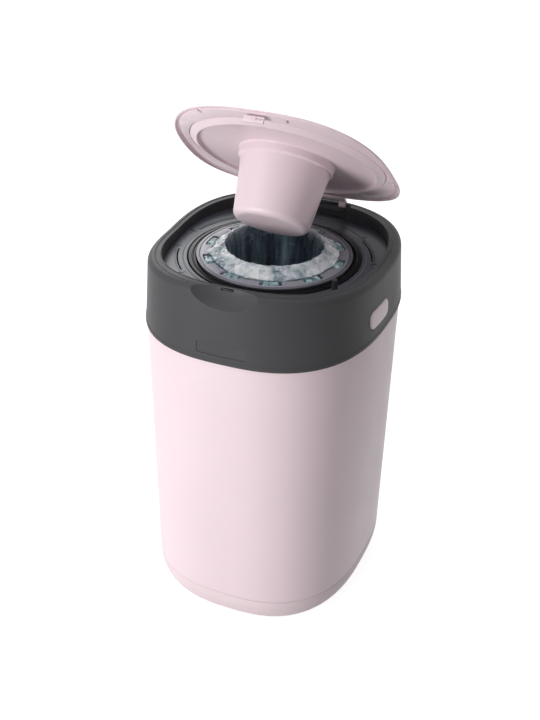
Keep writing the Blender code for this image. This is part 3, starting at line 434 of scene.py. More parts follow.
pink = mouldedPlastic("pinkPlastic", pinkLook)
basePink = mouldedPlastic("basePinkPlastic", basePinkLook)
buttonPink = mouldedPlastic("buttonPinkPlastic", buttonPinkLook)
collarGrey = mouldedPlastic("collarGreyPlastic", collarLook)
deckGrey = mouldedPlastic("deckGreyPlastic", deckLook)
turntableBlack = mouldedPlastic("turntableBlackPlastic", blackLook)
capGrey = mouldedPlastic("capGreyPlastic", capLook)
cassetteGrey = mouldedPlastic("cassetteGreyPlastic", cassetteLook)
softRubber = mouldedPlastic("softRubber", rubberLook)
screwSteel = brushedMetal("screwSteel", {"colour": (0.5, 0.5, 0.52), "rough": 0.35})
bladeSteel = brushedMetal("bladeSteel", {"colour": (0.62, 0.63, 0.65), "rough": 0.22, "along": (1, 0.05, 1)})
rodSteel = brushedMetal("rodSteel", {"colour": (0.07, 0.08, 0.09), "rough": 0.3})
sleeveFilm = plasticFilm("sleeveFilm", sleeveLook)
packFilm = plasticFilm("packFilm", packLook)
print("materials made")


# camera, light and floor

view = {"at": (0.3459, -0.9161, 0.8785), "turn": 0.36368, "down": 0.55740, "roll": 0.0198, "focalPx": 1052.35,
        "framePx": 720, "sensorMm": 36}
turn, down, roll = view["turn"], view["down"], view["roll"]
back = Vector((sin(turn) * cos(down), -cos(turn) * cos(down), sin(down)))
right = Vector((cos(turn), sin(turn), 0))
up = back.cross(right)
rightNow, upNow = right * cos(roll) + up * sin(roll), up * cos(roll) - right * sin(roll)
camera = added(bpy.ops.object.camera_add, location=view["at"])
camera.matrix_world = Matrix([(*row,) for row in zip(rightNow, upNow, back, view["at"])] + [(0, 0, 0, 1)])
camera.data.sensor_width = view["sensorMm"]
camera.data.lens = view["focalPx"] / view["framePx"] * view["sensorMm"]
camera.data.clip_start, camera.data.clip_end = 0.02, 30
bpy.context.scene.camera = camera

lamps = {
    "keyLamp": {"at": (-0.92, -1.9, 0.20), "size": 0.8, "watts": 34},
    "highLamp": {"at": (-1.1, -0.9, 1.6), "size": 1.0, "watts": 5},
    "backLamp": {"at": (-0.8, 1.1, 1.15), "size": 1.1, "watts": 8},
    "topLamp": {"at": (-0.2, 0.0, 2.0), "size": 1.2, "watts": 7},
}
lampAim = Vector((0, 0, 0.28))
for name, lamp in lamps.items():
    light = added(bpy.ops.object.light_add, type="AREA", location=lamp["at"])
    light.name = name
    light.data.shape, light.data.size, light.data.energy = "DISK", lamp["size"], lamp["watts"]
    light.rotation_mode = "QUATERNION"
    light.rotation_quaternion = (lampAim - Vector(lamp["at"])).to_track_quat("-Z", "Y")


def seenRay(tree):
    # 1 for rays from the camera, in mirrors and through glass
    path = tree.nodes.new("ShaderNodeLightPath")
    total = path.outputs["Is Camera Ray"]
    for other in ("Is Glossy Ray", "Is Transmission Ray"):
        add = tree.nodes.new("ShaderNodeMath")
        add.operation = "MAXIMUM"
        tree.links.new(total, add.inputs[0])
        tree.links.new(path.outputs[other], add.inputs[1])
        total = add.outputs[0]
    return total


def wire(tree, *pairs):
    for source, socket in pairs:
        tree.links.new(source, socket)


room = {"fill": 0.35, "shadow": 0.50, "glow": 0.84, "floorSize": 14, "floorZ": -0.0005, "floorRough": 0.9}
white = (1, 1, 1, 1)
world = bpy.data.worlds.new("studio")
world.use_nodes = True
bpy.context.scene.world = world
tree = world.node_tree
fill, seen = tree.nodes["Background"], tree.nodes.new("ShaderNodeBackground")
setInputs(fill, {"Color": white, "Strength": room["fill"]})
setInputs(seen, {"Color": white, "Strength": 1})
mixer = tree.nodes.new("ShaderNodeMixShader")
wire(tree, (seenRay(tree), mixer.inputs[0]), (fill.outputs[0], mixer.inputs[1]),
     (seen.outputs[0], mixer.inputs[2]),
     (mixer.outputs[0], tree.nodes["World Output"].inputs["Surface"]))

floor = added(bpy.ops.mesh.primitive_plane_add, size=room["floorSize"], location=(0, 0, room["floorZ"]))
floor.name = "floor"
bpy.ops.object.transform_apply(location=True)
floorMat = bpy.data.materials.new("paleFloor")
floorMat.use_nodes = True
tree = floorMat.node_tree
matt = tree.nodes["Principled BSDF"]
setInputs(matt, {"Base Color": (room["shadow"],) * 3 + (1,), "Roughness": room["floorRough"],
                 "Specular IOR Level": 0.0})
glow, strength, both = (tree.nodes.new(kind) for kind in ("ShaderNodeEmission", "ShaderNodeMath",
                                                          "ShaderNodeAddShader"))
glow.inputs["Color"].default_value = white
strength.operation = "MULTIPLY"
strength.inputs[1].default_value = room["glow"]
wire(tree, (seenRay(tree), strength.inputs[0]), (strength.outputs[0], glow.inputs["Strength"]),
     (matt.outputs[0], both.inputs[0]), (glow.outputs[0], both.inputs[1]),
     (both.outputs[0], tree.nodes["Material Output"].inputs["Surface"]))
floor.data.materials.append(floorMat)
bpy.context.scene.view_settings.view_transform = "Standard"
print("camera, lamps and floor set")


# tub and base pan

tub = {"footHalf": 0.1214, "topHalf": 0.1240, "footZ": 0.0389, "topZ": 0.3411, "wall": 0.0022, "edge": 0.0007,
       "spigotHalf": 0.1210, "spigotTopZ": 0.3515, "spigotWall": 0.0020}
spigot, spigotIn = tub["spigotHalf"], tub["spigotHalf"] - tub["spigotWall"]
profile = [(tub["footHalf"], tub["footZ"], tub["edge"]), (tub["topHalf"], tub["topZ"], tub["edge"]),
           (spigot, tub["topZ"], 0.0003), (spigot, tub["spigotTopZ"], 0.0004),
           (spigotIn, tub["spigotTopZ"], 0.0004),
           (spigotIn, tub["topZ"] - 0.003, 0), (tub["topHalf"] - tub["wall"], tub["topZ"] - 0.006, 0),
           (tub["footHalf"] - tub["wall"], tub["footZ"], 0)]
tubShell = stackRings("tubWall", [levelRing(outline(half), z) for half, z in softened(profile)])
latch = {"y": -0.0235, "z": 0.3470, "halfLong": 0.0072, "halfHigh": 0.0025}
for sign in (1, -1):
    near, far = sorted((sign * (spigot - 0.008), sign * (spigot + 0.002)))
    cutWith(tubShell, cutBlock((near, latch["y"] - latch["halfLong"], latch["z"] - latch["halfHigh"]),
                               (far, latch["y"] + latch["halfLong"], latch["z"] + latch["halfHigh"])))
settle(tubShell, "bin", pink, "tub_shell")

pan = {"seamZ": 0.0385, "inset": 0.027, "rise": 0.036, "wall": 0.0026, "tongueHalf": 0.1188,
       "tongueZ": 0.0465, "edge": 0.0007, "steps": 14}
outer, inner = [], []
for i in range(pan["steps"] + 1):
    quarter = pi / 2 * i / pan["steps"]
    half = tub["footHalf"] - pan["inset"] * (1 - sin(quarter))
    height = pan["rise"] * (1 - cos(quarter))
    outer.append((half, height))
    inner.append((half - pan["wall"], height * (1 - pan["wall"] / pan["rise"]) + pan["wall"]))
tongue, tongueIn = pan["tongueHalf"], pan["tongueHalf"] - pan["wall"]
rim = softened([(tub["footHalf"], pan["rise"], 0), (tub["footHalf"], pan["seamZ"], pan["edge"]),
                (tongue, pan["seamZ"], 0), (tongue, pan["tongueZ"], 0.0004),
                (tongueIn, pan["tongueZ"], 0.0004),
                (tongueIn, pan["rise"], 0)], closed=False)[1:]
basePan = stackRings("basePan", [levelRing(outline(half), z) for half, z in outer + rim + inner[-2::-1]],
                     joined=False)
settle(basePan, "bin", basePink, "base_pan")
print("tub and base pan built")


# collar: rim that rises to the front and the back, thumb scoop, catch, bare panel and windows

collar = {"bottomZ": 0.3415, "wall": 0.0024, "lip": 0.0040, "lipProud": 0.0005, "lean": 0.0037,
          "rimZ": 0.4068, "frontRise": 0.0124, "frontPower": 1.25, "backRise": 0.0053, "shoulderHigh": 0.0085,
          "shoulderWide": 0.0071, "land": 0.0052, "bead": 0.0008, "beadWide": 0.0007, "ledgeWide": 0.0045,
          "ledgeThick": 0.0020, "deckZ": 0.3965, "ledgeZ": 0.3939, "wallSteps": 12, "shoulderSteps": 9}
bodyHalf, rimZ, deckZ = body["halfWidth"], collar["rimZ"], collar["deckZ"]


def rise(y):
    share = abs(y) / (bodyHalf + outExtra)
    return collar["backRise"] * share ** 2 if y > 0 else collar["frontRise"] * share ** collar["frontPower"]


def collarHalf(z):
    low = collar["bottomZ"] + collar["lip"]
    return bodyHalf - collar["lean"] * (z - low) / (rimZ - collar["shoulderHigh"] - low)


def risingRing(half, z, lift, extra=outExtra):
    return [(x, y, z + rise(y) * lift) for x, y in outline(half, extra)]


lipZ, bottomZ = collar["bottomZ"] + collar["lip"], collar["bottomZ"]
topHalf = bodyHalf - collar["lean"]
outerBead = topHalf - collar["shoulderWide"]
innerBead = outerBead - collar["land"]
innerWall = innerBead - collar["beadWide"]
shoulderZ = rimZ - collar["shoulderHigh"]
proud = bodyHalf + collar["lipProud"]
rings = [risingRing(half, z, 0) for half, z in softened([
    (proud - 0.0015, bottomZ, 0), (proud, bottomZ, 0.0005), (proud, lipZ, 0.0005),
    (bodyHalf, lipZ + 0.0006, 0)], closed=False)]
for i in range(1, collar["wallSteps"] + 1):
    share = i / collar["wallSteps"]
    z = lipZ + (shoulderZ - lipZ) * share
    rings.append(risingRing(collarHalf(z), z, share ** 2))
steps = collar["shoulderSteps"]
for i in range(1, steps):
    quarter = pi / 2 * i / steps
    z = shoulderZ + collar["shoulderHigh"] * sin(quarter) - collar["bead"] * i / steps
    rings.append(risingRing(topHalf - collar["shoulderWide"] * (1 - cos(quarter)), z, 1))
groove, landIn = rimZ - collar["bead"], collar["beadWide"] * 1.4
ledgeZ, ledgeIn, wallIn = collar["ledgeZ"], innerWall - collar["ledgeWide"], bodyHalf - collar["wall"]
ledgeLow = ledgeZ - collar["ledgeThick"]
rings += [risingRing(half, z, lift, extra) for half, z, lift, extra in softened([
    (outerBead + 0.0006, groove, 0, 1, outExtra), (outerBead, rimZ, 0.0006, 1, outExtra),
    (outerBead - landIn, groove, 0.0005, 1, outExtra), (innerBead + landIn, groove, 0.0005, 1, inExtra),
    (innerBead, rimZ, 0.0006, 1, inExtra), (innerWall, groove, 0.0004, 1, inExtra),
    (innerWall, deckZ, 0, 0, inExtra), (innerWall, ledgeZ, 0, 0, inExtra),
    (ledgeIn, ledgeZ, 0.0003, 0, inExtra), (ledgeIn, ledgeLow, 0.0003, 0, inExtra),
    (collarHalf(ledgeZ) - collar["wall"], ledgeLow, 0, 0, outExtra), (wallIn, lipZ, 0, 0, outExtra),
    (wallIn, bottomZ, 0.0003, 0, outExtra)], closed=False)]
shell = stackRings("collarShell", rings)
shell.data.validate()

scoop = {"at": (0, -0.1420, 0.42066), "half": (0.0420, 0.0222, 0.0225), "easeOut": 0.0030, "easeScale": 1.07,
         "segments": 96, "rings": 48}
# the second cut is wider and shallower, and eases the scoop's edge, which catches the light
for out, scale in ((0, 1), (scoop["easeOut"], scoop["easeScale"])):
    ball = added(bpy.ops.mesh.primitive_uv_sphere_add, segments=scoop["segments"], ring_count=scoop["rings"],
                 radius=1, location=Vector(scoop["at"]) - Vector((0, out, 0)),
                 scale=Vector(scoop["half"]) * scale)
    bpy.ops.object.transform_apply(location=True, rotation=True, scale=True)
    cutWith(shell, ball)

catch = {"x": -0.0005, "z": 0.41416, "wide": 0.0130, "high": 0.0030}
frontY = -(innerWall + inExtra)
cutWith(shell, cutBlock((catch["x"] - catch["wide"] / 2, frontY - 0.0071, catch["z"] - catch["high"] / 2),
                        (catch["x"] + catch["wide"] / 2, frontY + 0.002, catch["z"] + catch["high"] / 2),
                        0.0004))


def softRectangle(halfU, halfV, corner, arcSteps=8, sideSteps=10):
    points = []
    for quarter, (u, v) in enumerate(((1, 1), (-1, 1), (-1, -1), (1, -1))):
        cu, cv = u * (halfU - corner), v * (halfV - corner)
        for i in range(arcSteps + 1):
            t = pi / 2 * (quarter + i / arcSteps)
            points.append((cu + corner * cos(t), cv + corner * sin(t)))
        if quarter in (0, 2):
            points += [(cu * (1 - 2 * i / sideSteps), v * halfV) for i in range(1, sideSteps)]
    return points


def widthAt(half, y):
    deep, power = half + outExtra, body["power"]
    return half * (1 - abs(y / deep) ** power) ** (1 / power) * (1 + body["backFlare"] * y / deep)


def frontWall(x, z):
    half, power, flare = collarHalf(z), body["power"], 1 - body["backFlare"]
    return -(half + outExtra) * (1 - abs(x / half / flare) ** power) ** (1 / power)


def skinLoops(name, loops):
    # flat loops of one count, joined one to the next and closed at both ends, for plugs that follow a wall
    piece = bpy.data.objects.new(name, bpy.data.meshes.new(name))
    shape = bmesh.new()
    made = [[shape.verts.new(p) for p in loop] for loop in loops]
    for a, b in zip(made, made[1:]):
        for i in range(len(a)):
            j = (i + 1) % len(a)
            shape.faces.new((a[i], a[j], b[j], b[i]))
    shape.faces.new(made[0])
    shape.faces.new(made[-1])
    bmesh.ops.recalc_face_normals(shape, faces=shape.faces[:])
    shape.to_mesh(piece.data)
    shape.free()
    bpy.context.scene.collection.objects.link(piece)
    return piece


panel = {"x": -0.0015, "z": 0.3560, "wide": 0.0520, "high": 0.0125, "corner": 0.0022, "deep": 0.0006}
rim = softRectangle(panel["wide"] / 2, panel["high"] / 2, panel["corner"])
cutWith(shell, skinLoops("panelTool", [
    [(panel["x"] + u * s, frontWall(panel["x"] + u * s, panel["z"] + v * s) + push, panel["z"] + v * s)
     for u, v in rim] for push, s in ((panel["deep"], 0.985), (-0.002, 1.03))]))

pocket = {"half": 0.0405, "front": 0.0055, "back": 0.0054, "deep": 0.0068}
cutWith(shell, cutBlock((-pocket["half"], hinge["y"] - pocket["front"], hinge["z"] - pocket["deep"]),
                        (pocket["half"], hinge["y"] + pocket["back"], hinge["z"] + pocket["deep"] * 2),
                        0.0008))

# a button's or window's loops: how far each stands out from the wall, and how much wider it is than the part
button = {"y": -0.0235, "z": 0.3655, "halfLong": 0.0220, "halfHigh": 0.0095, "corner": 0.0075,
          "roundest": 0.85, "gap": 0.0004,
          "window": ((-0.0046, 0), (-0.0006, 0), (-0.0002, 0.00012), (0.0002, 0.0005), (0.002, 0.0018)),
          "face": ((-0.0042, 0.0014), (-0.0030, 0.0014), (-0.0030, 0), (0.0000, 0), (0.0005, -0.0001),
                   (0.0009, -0.0004), (0.0012, -0.0010), (0.0013, -0.0022))}


def wallLoop(sign, out, halfU, halfV):
    corner = min(button["corner"], halfV * button["roundest"])
    places = [(button["y"] + u, button["z"] + v) for u, v in softRectangle(halfU, halfV, corner)]
    return [(sign * (widthAt(collarHalf(z), y) + out), y, z) for y, z in places]


def wallLoops(name, sign, kind, gap=0.0):
    long, high = button["halfLong"] + gap, button["halfHigh"] + gap
    return skinLoops(name, [wallLoop(sign, out, long + more, high + more) for out, more in button[kind]])


for sign in (1, -1):
    cutWith(shell, wallLoops("windowTool", sign, "window", button["gap"]))
settle(shell, "head", collarGrey, "collar_shell", deg=28)
print("collar built")

for sign, side in ((1, "right"), (-1, "left")):
    settle(wallLoops("button" + side.capitalize(), sign, "face"), "button_" + side, buttonPink,
           "button_" + side, deg=40)
print("buttons built")


# deck, peg and well

deck = {"half": innerWall - 0.0004, "thick": 0.0022, "step": 0.0006, "wellRadius": 0.0897, "lip": 0.0008,
        "stepIn": 0.0940, "stepOut": 0.1030, "slitRadius": 0.1002, "slitWide": 0.0016, "slitDeg": 28.5,
        "spanDeg": 14}
low, dip = deckZ - deck["thick"], deckZ - deck["step"]
slitAt = (deck["slitDeg"], -deck["slitDeg"], 180 - deck["slitDeg"], 180 + deck["slitDeg"])
edge = outline(deck["half"], inExtra)
rings = [levelRing(edge, low), levelRing(edge, deckZ - 0.0003),
         levelRing(outline(deck["half"] - 0.0004, inExtra), deckZ)]
for radius, z in softened([(deck["stepOut"] + 0.001, deckZ, 0), (deck["stepOut"], deckZ, 0.0004),
                           (deck["stepOut"] - deck["step"], dip, 0.0004),
                           (deck["stepIn"] + deck["step"], dip, 0.0004),
                           (deck["stepIn"], deckZ, 0.0004),
                           (deck["wellRadius"] + deck["lip"], deckZ, 0.0004),
                           (deck["wellRadius"], deckZ - deck["lip"], 0.0003), (deck["wellRadius"], low, 0)],
                          closed=False):
    rings.append(levelRing(circle(radius), z))
deckPlate = stackRings("deckPlate", rings)


def arcTool(radius, wide, centreDeg, spanDeg, lowZ, highZ, steps=24):
    loops = []
    for i in range(steps + 1):
        t = radians(centreDeg - spanDeg + 2 * spanDeg * i / steps)
        near, far = radius - wide / 2, radius + wide / 2
        loops.append([(near * cos(t), near * sin(t), lowZ), (far * cos(t), far * sin(t), lowZ),
                      (far * cos(t), far * sin(t), highZ), (near * cos(t), near * sin(t), highZ)])
    return skinLoops("arcTool", loops)


for centre in slitAt:
    cutWith(deckPlate, arcTool(deck["slitRadius"], deck["slitWide"], centre, deck["spanDeg"], low - 0.002,
                               deckZ + 0.002))
marks = {"radius": 0.1030, "long": 0.0100, "halfDeg": 0.45, "deep": 0.0009, "beyondDeg": 17.5}
for centre in slitAt:
    for end in (-1, 1):
        cutWith(deckPlate, arcTool(marks["radius"], marks["long"], centre + end * marks["beyondDeg"],
                                   marks["halfDeg"], deckZ - marks["deep"], deckZ + 0.002, 2))
settle(deckPlate, "head", deckGrey, "deck_plate", deg=28)

peg = {"deg": -31, "from": 0.0947, "domeSteps": 8, "radius": 0.0032, "narrow": 0.0027, "foot": 0.3969,
       "high": 0.0120}
px, py = peg["from"] * cos(radians(peg["deg"])), peg["from"] * sin(radians(peg["deg"]))
top = peg["foot"] + peg["high"]
dome = [(peg["narrow"] * sin(q), top - peg["narrow"] * (1 - cos(q))) for q in quarters(peg["domeSteps"])]
clickPeg = spinProfile("clickPeg", dome + [(peg["radius"], peg["foot"] + 0.0004),
                                           (peg["radius"] + 0.0003, peg["foot"]), (0, peg["foot"])], 48)
settle(clickPeg, "head", collarGrey, "click_peg", turn=Matrix.Translation((px, py, 0)))
print("deck and peg built")

well = {"radius": 0.0897, "wall": 0.0022, "floorZ": 0.3440, "floorThick": 0.0024, "throat": 0.0551,
        "throatWall": 0.0024, "throatLong": 0.0116, "flange": 0.0075, "flangeThick": 0.0022}
top = low - 0.0004
inR, floorZ, flangeZ = well["radius"], well["floorZ"], top - well["flangeThick"]
outR, floorLow = inR + well["wall"], floorZ - well["floorThick"]
throatOut, throatZ = well["throat"] + well["throatWall"], floorLow - well["throatLong"]
wellTube = spinProfile("wellTube", softened([
    (inR, top, 0.0003), (outR + well["flange"], top, 0.0003), (outR + well["flange"], flangeZ, 0.0005),
    (outR, flangeZ, 0.001), (outR, floorLow, 0.0015), (throatOut, floorLow, 0.001),
    (throatOut, throatZ, 0.0006), (well["throat"], throatZ, 0.0006), (well["throat"], floorZ, 0.0008),
    (inR, floorZ, 0.0015)]))
settle(wellTube, "head", collarGrey, "well_tube")

# turntable, cassette and its cap

table = {"outer": 0.0889, "inner": 0.0813, "wall": 0.0020, "flangeZ": 0.3967, "flangeThick": 0.0018,
         "lipZ": 0.3977, "lipAt": 0.0846, "lip": 0.0009, "bottomZ": 0.3444, "floor": 0.0020, "hub": 0.0590}
flangeZ, lipAt, lip = table["flangeZ"], table["lipAt"], table["lip"]
flangeLow, wallOut = flangeZ - table["flangeThick"], table["inner"] + table["wall"]
bottomZ, floorZ = table["bottomZ"], table["bottomZ"] + table["floor"]
ringPiece = spinProfile("turntableRing", softened([
    (table["inner"], flangeZ, 0.0004), (lipAt - lip, flangeZ, 0.0003),
    (lipAt - lip / 2, table["lipZ"], 0.0003),
    (lipAt + lip / 2, table["lipZ"], 0.0003), (lipAt + lip, flangeZ, 0.0003),
    (table["outer"], flangeZ, 0.0005),
    (table["outer"], flangeLow, 0.0004), (wallOut, flangeLow, 0.0004), (wallOut, bottomZ, 0.0006),
    (table["hub"], bottomZ, 0.0004), (table["hub"], floorZ, 0.0004), (table["inner"], floorZ, 0.001)]))
settle(ringPiece, "turntable", turntableBlack, "turntable_ring")

cassette = {"outer": 0.0788, "lip": 0.0019, "lipThick": 0.0018, "topZ": 0.3993, "bottomZ": 0.3468,
            "wall": 0.0016, "hub": 0.0612, "hubWall": 0.0014, "hubTop": 0.3935}
outer, topZ, bottomZ = cassette["outer"], cassette["topZ"], cassette["bottomZ"]
lip, lipLow, floorTop = outer + cassette["lip"], topZ - cassette["lipThick"], bottomZ + cassette["wall"]
wallIn, hub, hubTop = outer - cassette["wall"], cassette["hub"], cassette["hubTop"]
hubOut = hub + cassette["hubWall"]
cassetteTub = spinProfile("cassetteTub", softened([
    (wallIn, topZ, 0.0003), (lip, topZ, 0.0005), (lip, lipLow, 0.0004), (outer, lipLow, 0.0004),
    (outer, bottomZ, 0.0012), (hub, bottomZ, 0.0006), (hub, hubTop, 0.0005), (hubOut, hubTop, 0.0005),
    (hubOut, floorTop, 0.0006), (wallIn, floorTop, 0.0006)]))
settle(cassetteTub, "turntable", cassetteGrey, "cassette_tub")

cap = {"inner": 0.0660, "outer": 0.0768, "topZ": 0.3993, "thick": 0.0018, "skirt": 0.0034,
       "skirtWall": 0.0014, "band": 0.0026, "tabs": 10, "gapShare": 0.50}
capLow, topZ, outer = cap["topZ"] - cap["thick"], cap["topZ"], cap["outer"]
skirtLow, skirtIn = capLow - cap["skirt"], outer - cap["skirtWall"]
capRing = spinProfile("cassetteCap", softened([
    (cap["inner"], topZ, 0.0005), (outer, topZ, 0.0004), (outer, skirtLow, 0.0003),
    (skirtIn, skirtLow, 0.0003), (skirtIn, capLow, 0.0003), (cap["inner"], capLow, 0.0005)]))
bandIn = cap["outer"] - cap["band"]
for i in range(cap["tabs"]):
    pitch = 360 / cap["tabs"]
    cutWith(capRing, arcTool((cap["inner"] - 0.002 + bandIn) / 2, bandIn - cap["inner"] + 0.002, pitch * i,
                             pitch * cap["gapShare"] / 2, capLow - 0.002, cap["topZ"] + 0.002, 12))
settle(capRing, "turntable", capGrey, "cassette_cap", deg=28)
print("turntable and cassette built")


# film: packed folds in the cassette, and the sleeve drawn over its edge and down the throat

rng = np.random.default_rng(7)
packed = {"inner": 0.0636, "outer": 0.0746, "lowZ": 0.3492, "underCap": 0.3958, "inGap": 0.4002,
          "rise": 0.0016, "edgeDrop": 0.005, "points": 720, "across": 16}
gapHalf = pi / cap["tabs"] * cap["gapShare"]
rings = []
for j in range(packed["across"] + 1):
    share = j / packed["across"]
    reach = packed["inner"] + (packed["outer"] - packed["inner"]) * share
    edgeDrop = packed["edgeDrop"] * (abs(share * 2 - 1) ** 5)
    ring = []
    for i in range(packed["points"]):
        t = 2 * pi * i / packed["points"]
        x, y = reach * cos(t), reach * sin(t)
        # the film swells up in the gaps between the cap's tabs
        offGap = abs((t + pi / cap["tabs"]) % (2 * pi / cap["tabs"]) - pi / cap["tabs"])
        swell = min(1, max(0, (gapHalf - 0.012 - offGap) / 0.05))
        broad, small = noise.noise(Vector((x, y, 0)) / 0.0042), noise.noise(Vector((x, y, 3)) / 0.0020)
        wrinkle = abs(broad) + 0.5 * abs(small)
        top = packed["underCap"] + (packed["inGap"] - packed["underCap"]) * swell
        ring.append((x, y, top - edgeDrop - packed["rise"] * wrinkle))
    rings.append(ring)
feet = [[(x, y, packed["lowZ"]) for x, y, z in ring] for ring in (rings[0], rings[-1])]
rings = [feet[0]] + rings + [feet[1]]
filmPack = stackRings("filmPack", rings)
settle(filmPack, "turntable", packFilm, "film_pack", deg=60)

# a row is reach, height, depth of the pleats, and how far the crumpled lumps of the drape bulge
sleeve = {"points": 600, "folds": 15, "foldDeep": 0.0021, "lump": 0.0062, "crumple": 0.0026,
          "crumpleSize": 0.0125, "step": 0.0013}
path = [(0.0634, 0.3925, 0.1, 0), (0.0640, 0.3958, 0.2, 0), (0.0648, 0.3990, 0.3, 0.1),
        (0.0656, 0.4004, 0.3, 0.7), (0.0650, 0.4015, 0.3, 1.0), (0.0630, 0.4030, 0.3, 0.8),
        (0.0602, 0.4050, 0.6, 0.5), (0.0572, 0.4073, 0.7, 0.3), (0.0545, 0.4091, 0.7, 0.2),
        (0.0525, 0.4098, 0.6, 0.1), (0.0512, 0.4091, 0.5, 0), (0.0503, 0.4066, 0.45, 0),
        (0.0499, 0.4010, 0.8, 0), (0.0490, 0.3900, 1.3, 0), (0.0481, 0.3780, 1.4, 0),
        (0.0470, 0.3640, 1.3, 0), (0.0455, 0.3460, 1.2, 0), (0.0442, 0.3300, 1.0, 0),
        (0.0428, 0.3200, 0.9, 0), (0.0395, 0.3080, 0.9, 0), (0.0340, 0.2930, 0.8, 0),
        (0.0265, 0.2780, 0.7, 0), (0.0175, 0.2650, 0.5, 0), (0.0100, 0.2570, 0.3, 0),
        (0.0062, 0.2524, 0.15, 0)]
fine = []
for a, b in zip(path, path[1:]):
    parts = max(1, round(((b[0] - a[0]) ** 2 + (b[1] - a[1]) ** 2) ** 0.5 / sleeve["step"]))
    fine += [tuple(u + (v - u) * k / parts for u, v in zip(a, b)) for k in range(parts)]
fine.append(path[-1])
folds = [(2 * pi * (k + float(rng.uniform(-0.32, 0.32))) / sleeve["folds"], float(rng.uniform(0.055, 0.13)),
          float(rng.uniform(0.35, 1.0)), float(rng.uniform(-1.6, 1.6))) for k in range(sleeve["folds"])]


def foldAt(turn, z):
    # ridges of the drawn film that stand in from the wall, each with one sharp side
    total = 0
    for at, wide, high, bend in folds:
        gap = (turn - at - bend * (0.409 - z) + pi) % (2 * pi) - pi
        total += high * exp(-(gap / (wide if gap > 0 else wide * 0.35)) ** 2)
    return total


def crumple(x, y, z, size):
    # sharp creases, as in film that was squeezed by hand
    place = Vector((x, y, z)) / size
    return 2 * abs(noise.noise(place)) + abs(noise.noise(place * 2.3 + Vector((5, 2, 1)))) - 0.6


rings = []
for reach, z, depth, lump in fine:
    ring = []
    topShare = min(1, max(0, (z - 0.398) / 0.006)) if reach > 0.049 else 0
    for i in range(sleeve["points"]):
        t = 2 * pi * i / sleeve["points"]
        x, y = reach * cos(t), reach * sin(t)
        rough = crumple(x, y, z, sleeve["crumpleSize"]) * topShare
        bulge = (noise.noise(Vector((cos(t) * 3.1, sin(t) * 3.1, 2.0)))
                 + 0.5 * noise.noise(Vector((cos(t) * 8, sin(t) * 8, 7))))
        out = sleeve["lump"] * lump * max(-0.6, bulge) - sleeve["foldDeep"] * depth * foldAt(t, z)
        out += sleeve["crumple"] * rough * (1 if lump else -0.25)
        lift = topShare * (0.0010 * bulge * min(1, lump + 0.5) - 0.0010 * abs(rough) * lump)
        ring.append(((reach + out) * cos(t), (reach + out) * sin(t), z + lift))
    rings.append(ring)
filmSleeve = stackRings("filmSleeve", rings, joined=False)
pickOnly(filmSleeve)
bpy.ops.object.mode_set(mode="EDIT")
bpy.ops.mesh.select_mode(type="FACE")
shape = bmesh.from_edit_mesh(filmSleeve.data)
for f in shape.faces:
    f.select = len(f.verts) > 4
bmesh.update_edit_mesh(filmSleeve.data)
bpy.ops.mesh.delete(type="FACE")
bpy.ops.object.mode_set(mode="OBJECT")
settle(filmSleeve, "turntable", sleeveFilm, "film_sleeve", deg=40)
print("sleeve area", round(sum(p.area for p in filmSleeve.data.polygons), 4))

knot = {"radius": 0.0108, "high": 0.0200, "topZ": 0.2514, "neck": 0.0058, "foldCount": 11, "foldDeep": 0.10,
        "rows": 24, "points": 96}
rings = []
for j in range(knot["rows"] + 1):
    share = j / knot["rows"]
    radius = (knot["neck"] + (knot["radius"] - knot["neck"]) * sin(pi * share) ** 0.8) * (1 - 0.35 * share)
    ring = []
    for t in (2 * pi * i / knot["points"] for i in range(knot["points"])):
        reach = radius * (1 + knot["foldDeep"] * sin(knot["foldCount"] * t + 7 * share) * sin(pi * share))
        ring.append((reach * cos(t), reach * sin(t), knot["topZ"] - knot["high"] * share))
    rings.append(ring)
filmKnot = stackRings("filmKnot", rings, joined=False)
settle(filmKnot, "turntable", sleeveFilm, "film_knot", deg=60)
print("film built")


# lid: domed ring, liner with its short slots, tab and hinge arm

lid = {"half": 0.1120, "halfDeep": 0.1179, "dome": 0.0100, "edgeHigh": 0.0013, "edgeRound": 0.0012,
       "edgeWall": 0.0016, "sideDip": 0.0082, "frontDip": 0.0010, "backDip": 0.0030, "frontBend": 1.5,
       "lipHigh": 0.0027, "lipThinner": 0.0015, "inset": 0.0042, "linerDeep": 0.0036, "linerProud": 0.0011,
       "linerBevel": 0.0008, "mouth": 0.0990, "seat": 0.1018, "underZ": 0.0012}
lidExtra = lid["halfDeep"] - lid["half"]


def lidEdge(inset):
    return outline(lid["half"] - inset, lidExtra)


def domeZ(radius):
    return lid["edgeHigh"] + (lid["dome"] - lid["edgeHigh"]) * (1 - (radius / lid["half"]) ** 2)


def edgeLow(y):
    # the brim follows the collar's rim: it hangs most at the sides and least at the front
    share = min(abs(y) / lid["halfDeep"], 1)
    if y > 0:
        return -lid["backDip"] - (lid["sideDip"] - lid["backDip"]) * (1 - share ** 2)
    return -lid["sideDip"] + (lid["sideDip"] - lid["frontDip"]) * share ** lid["frontBend"]


def edgeTop(y):
    share = min(abs(y) / lid["halfDeep"], 1) if y < 0 else 0
    return edgeLow(y) + lid["lipHigh"] - lid["lipThinner"] * share ** lid["frontBend"]


def brimZ(y, share):
    # height of the lid's top from its edge, share 0, to the dial's mouth, share 1
    return edgeTop(y) + (domeZ(lid["mouth"]) - edgeTop(y)) * (share * 0.75 + sin(pi / 2 * share) * 0.25)


def brimRing(points, height):
    return [(x, y, height(y)) for x, y in points]


def edgeRing(inset, height):
    return brimRing(lidEdge(inset), height)


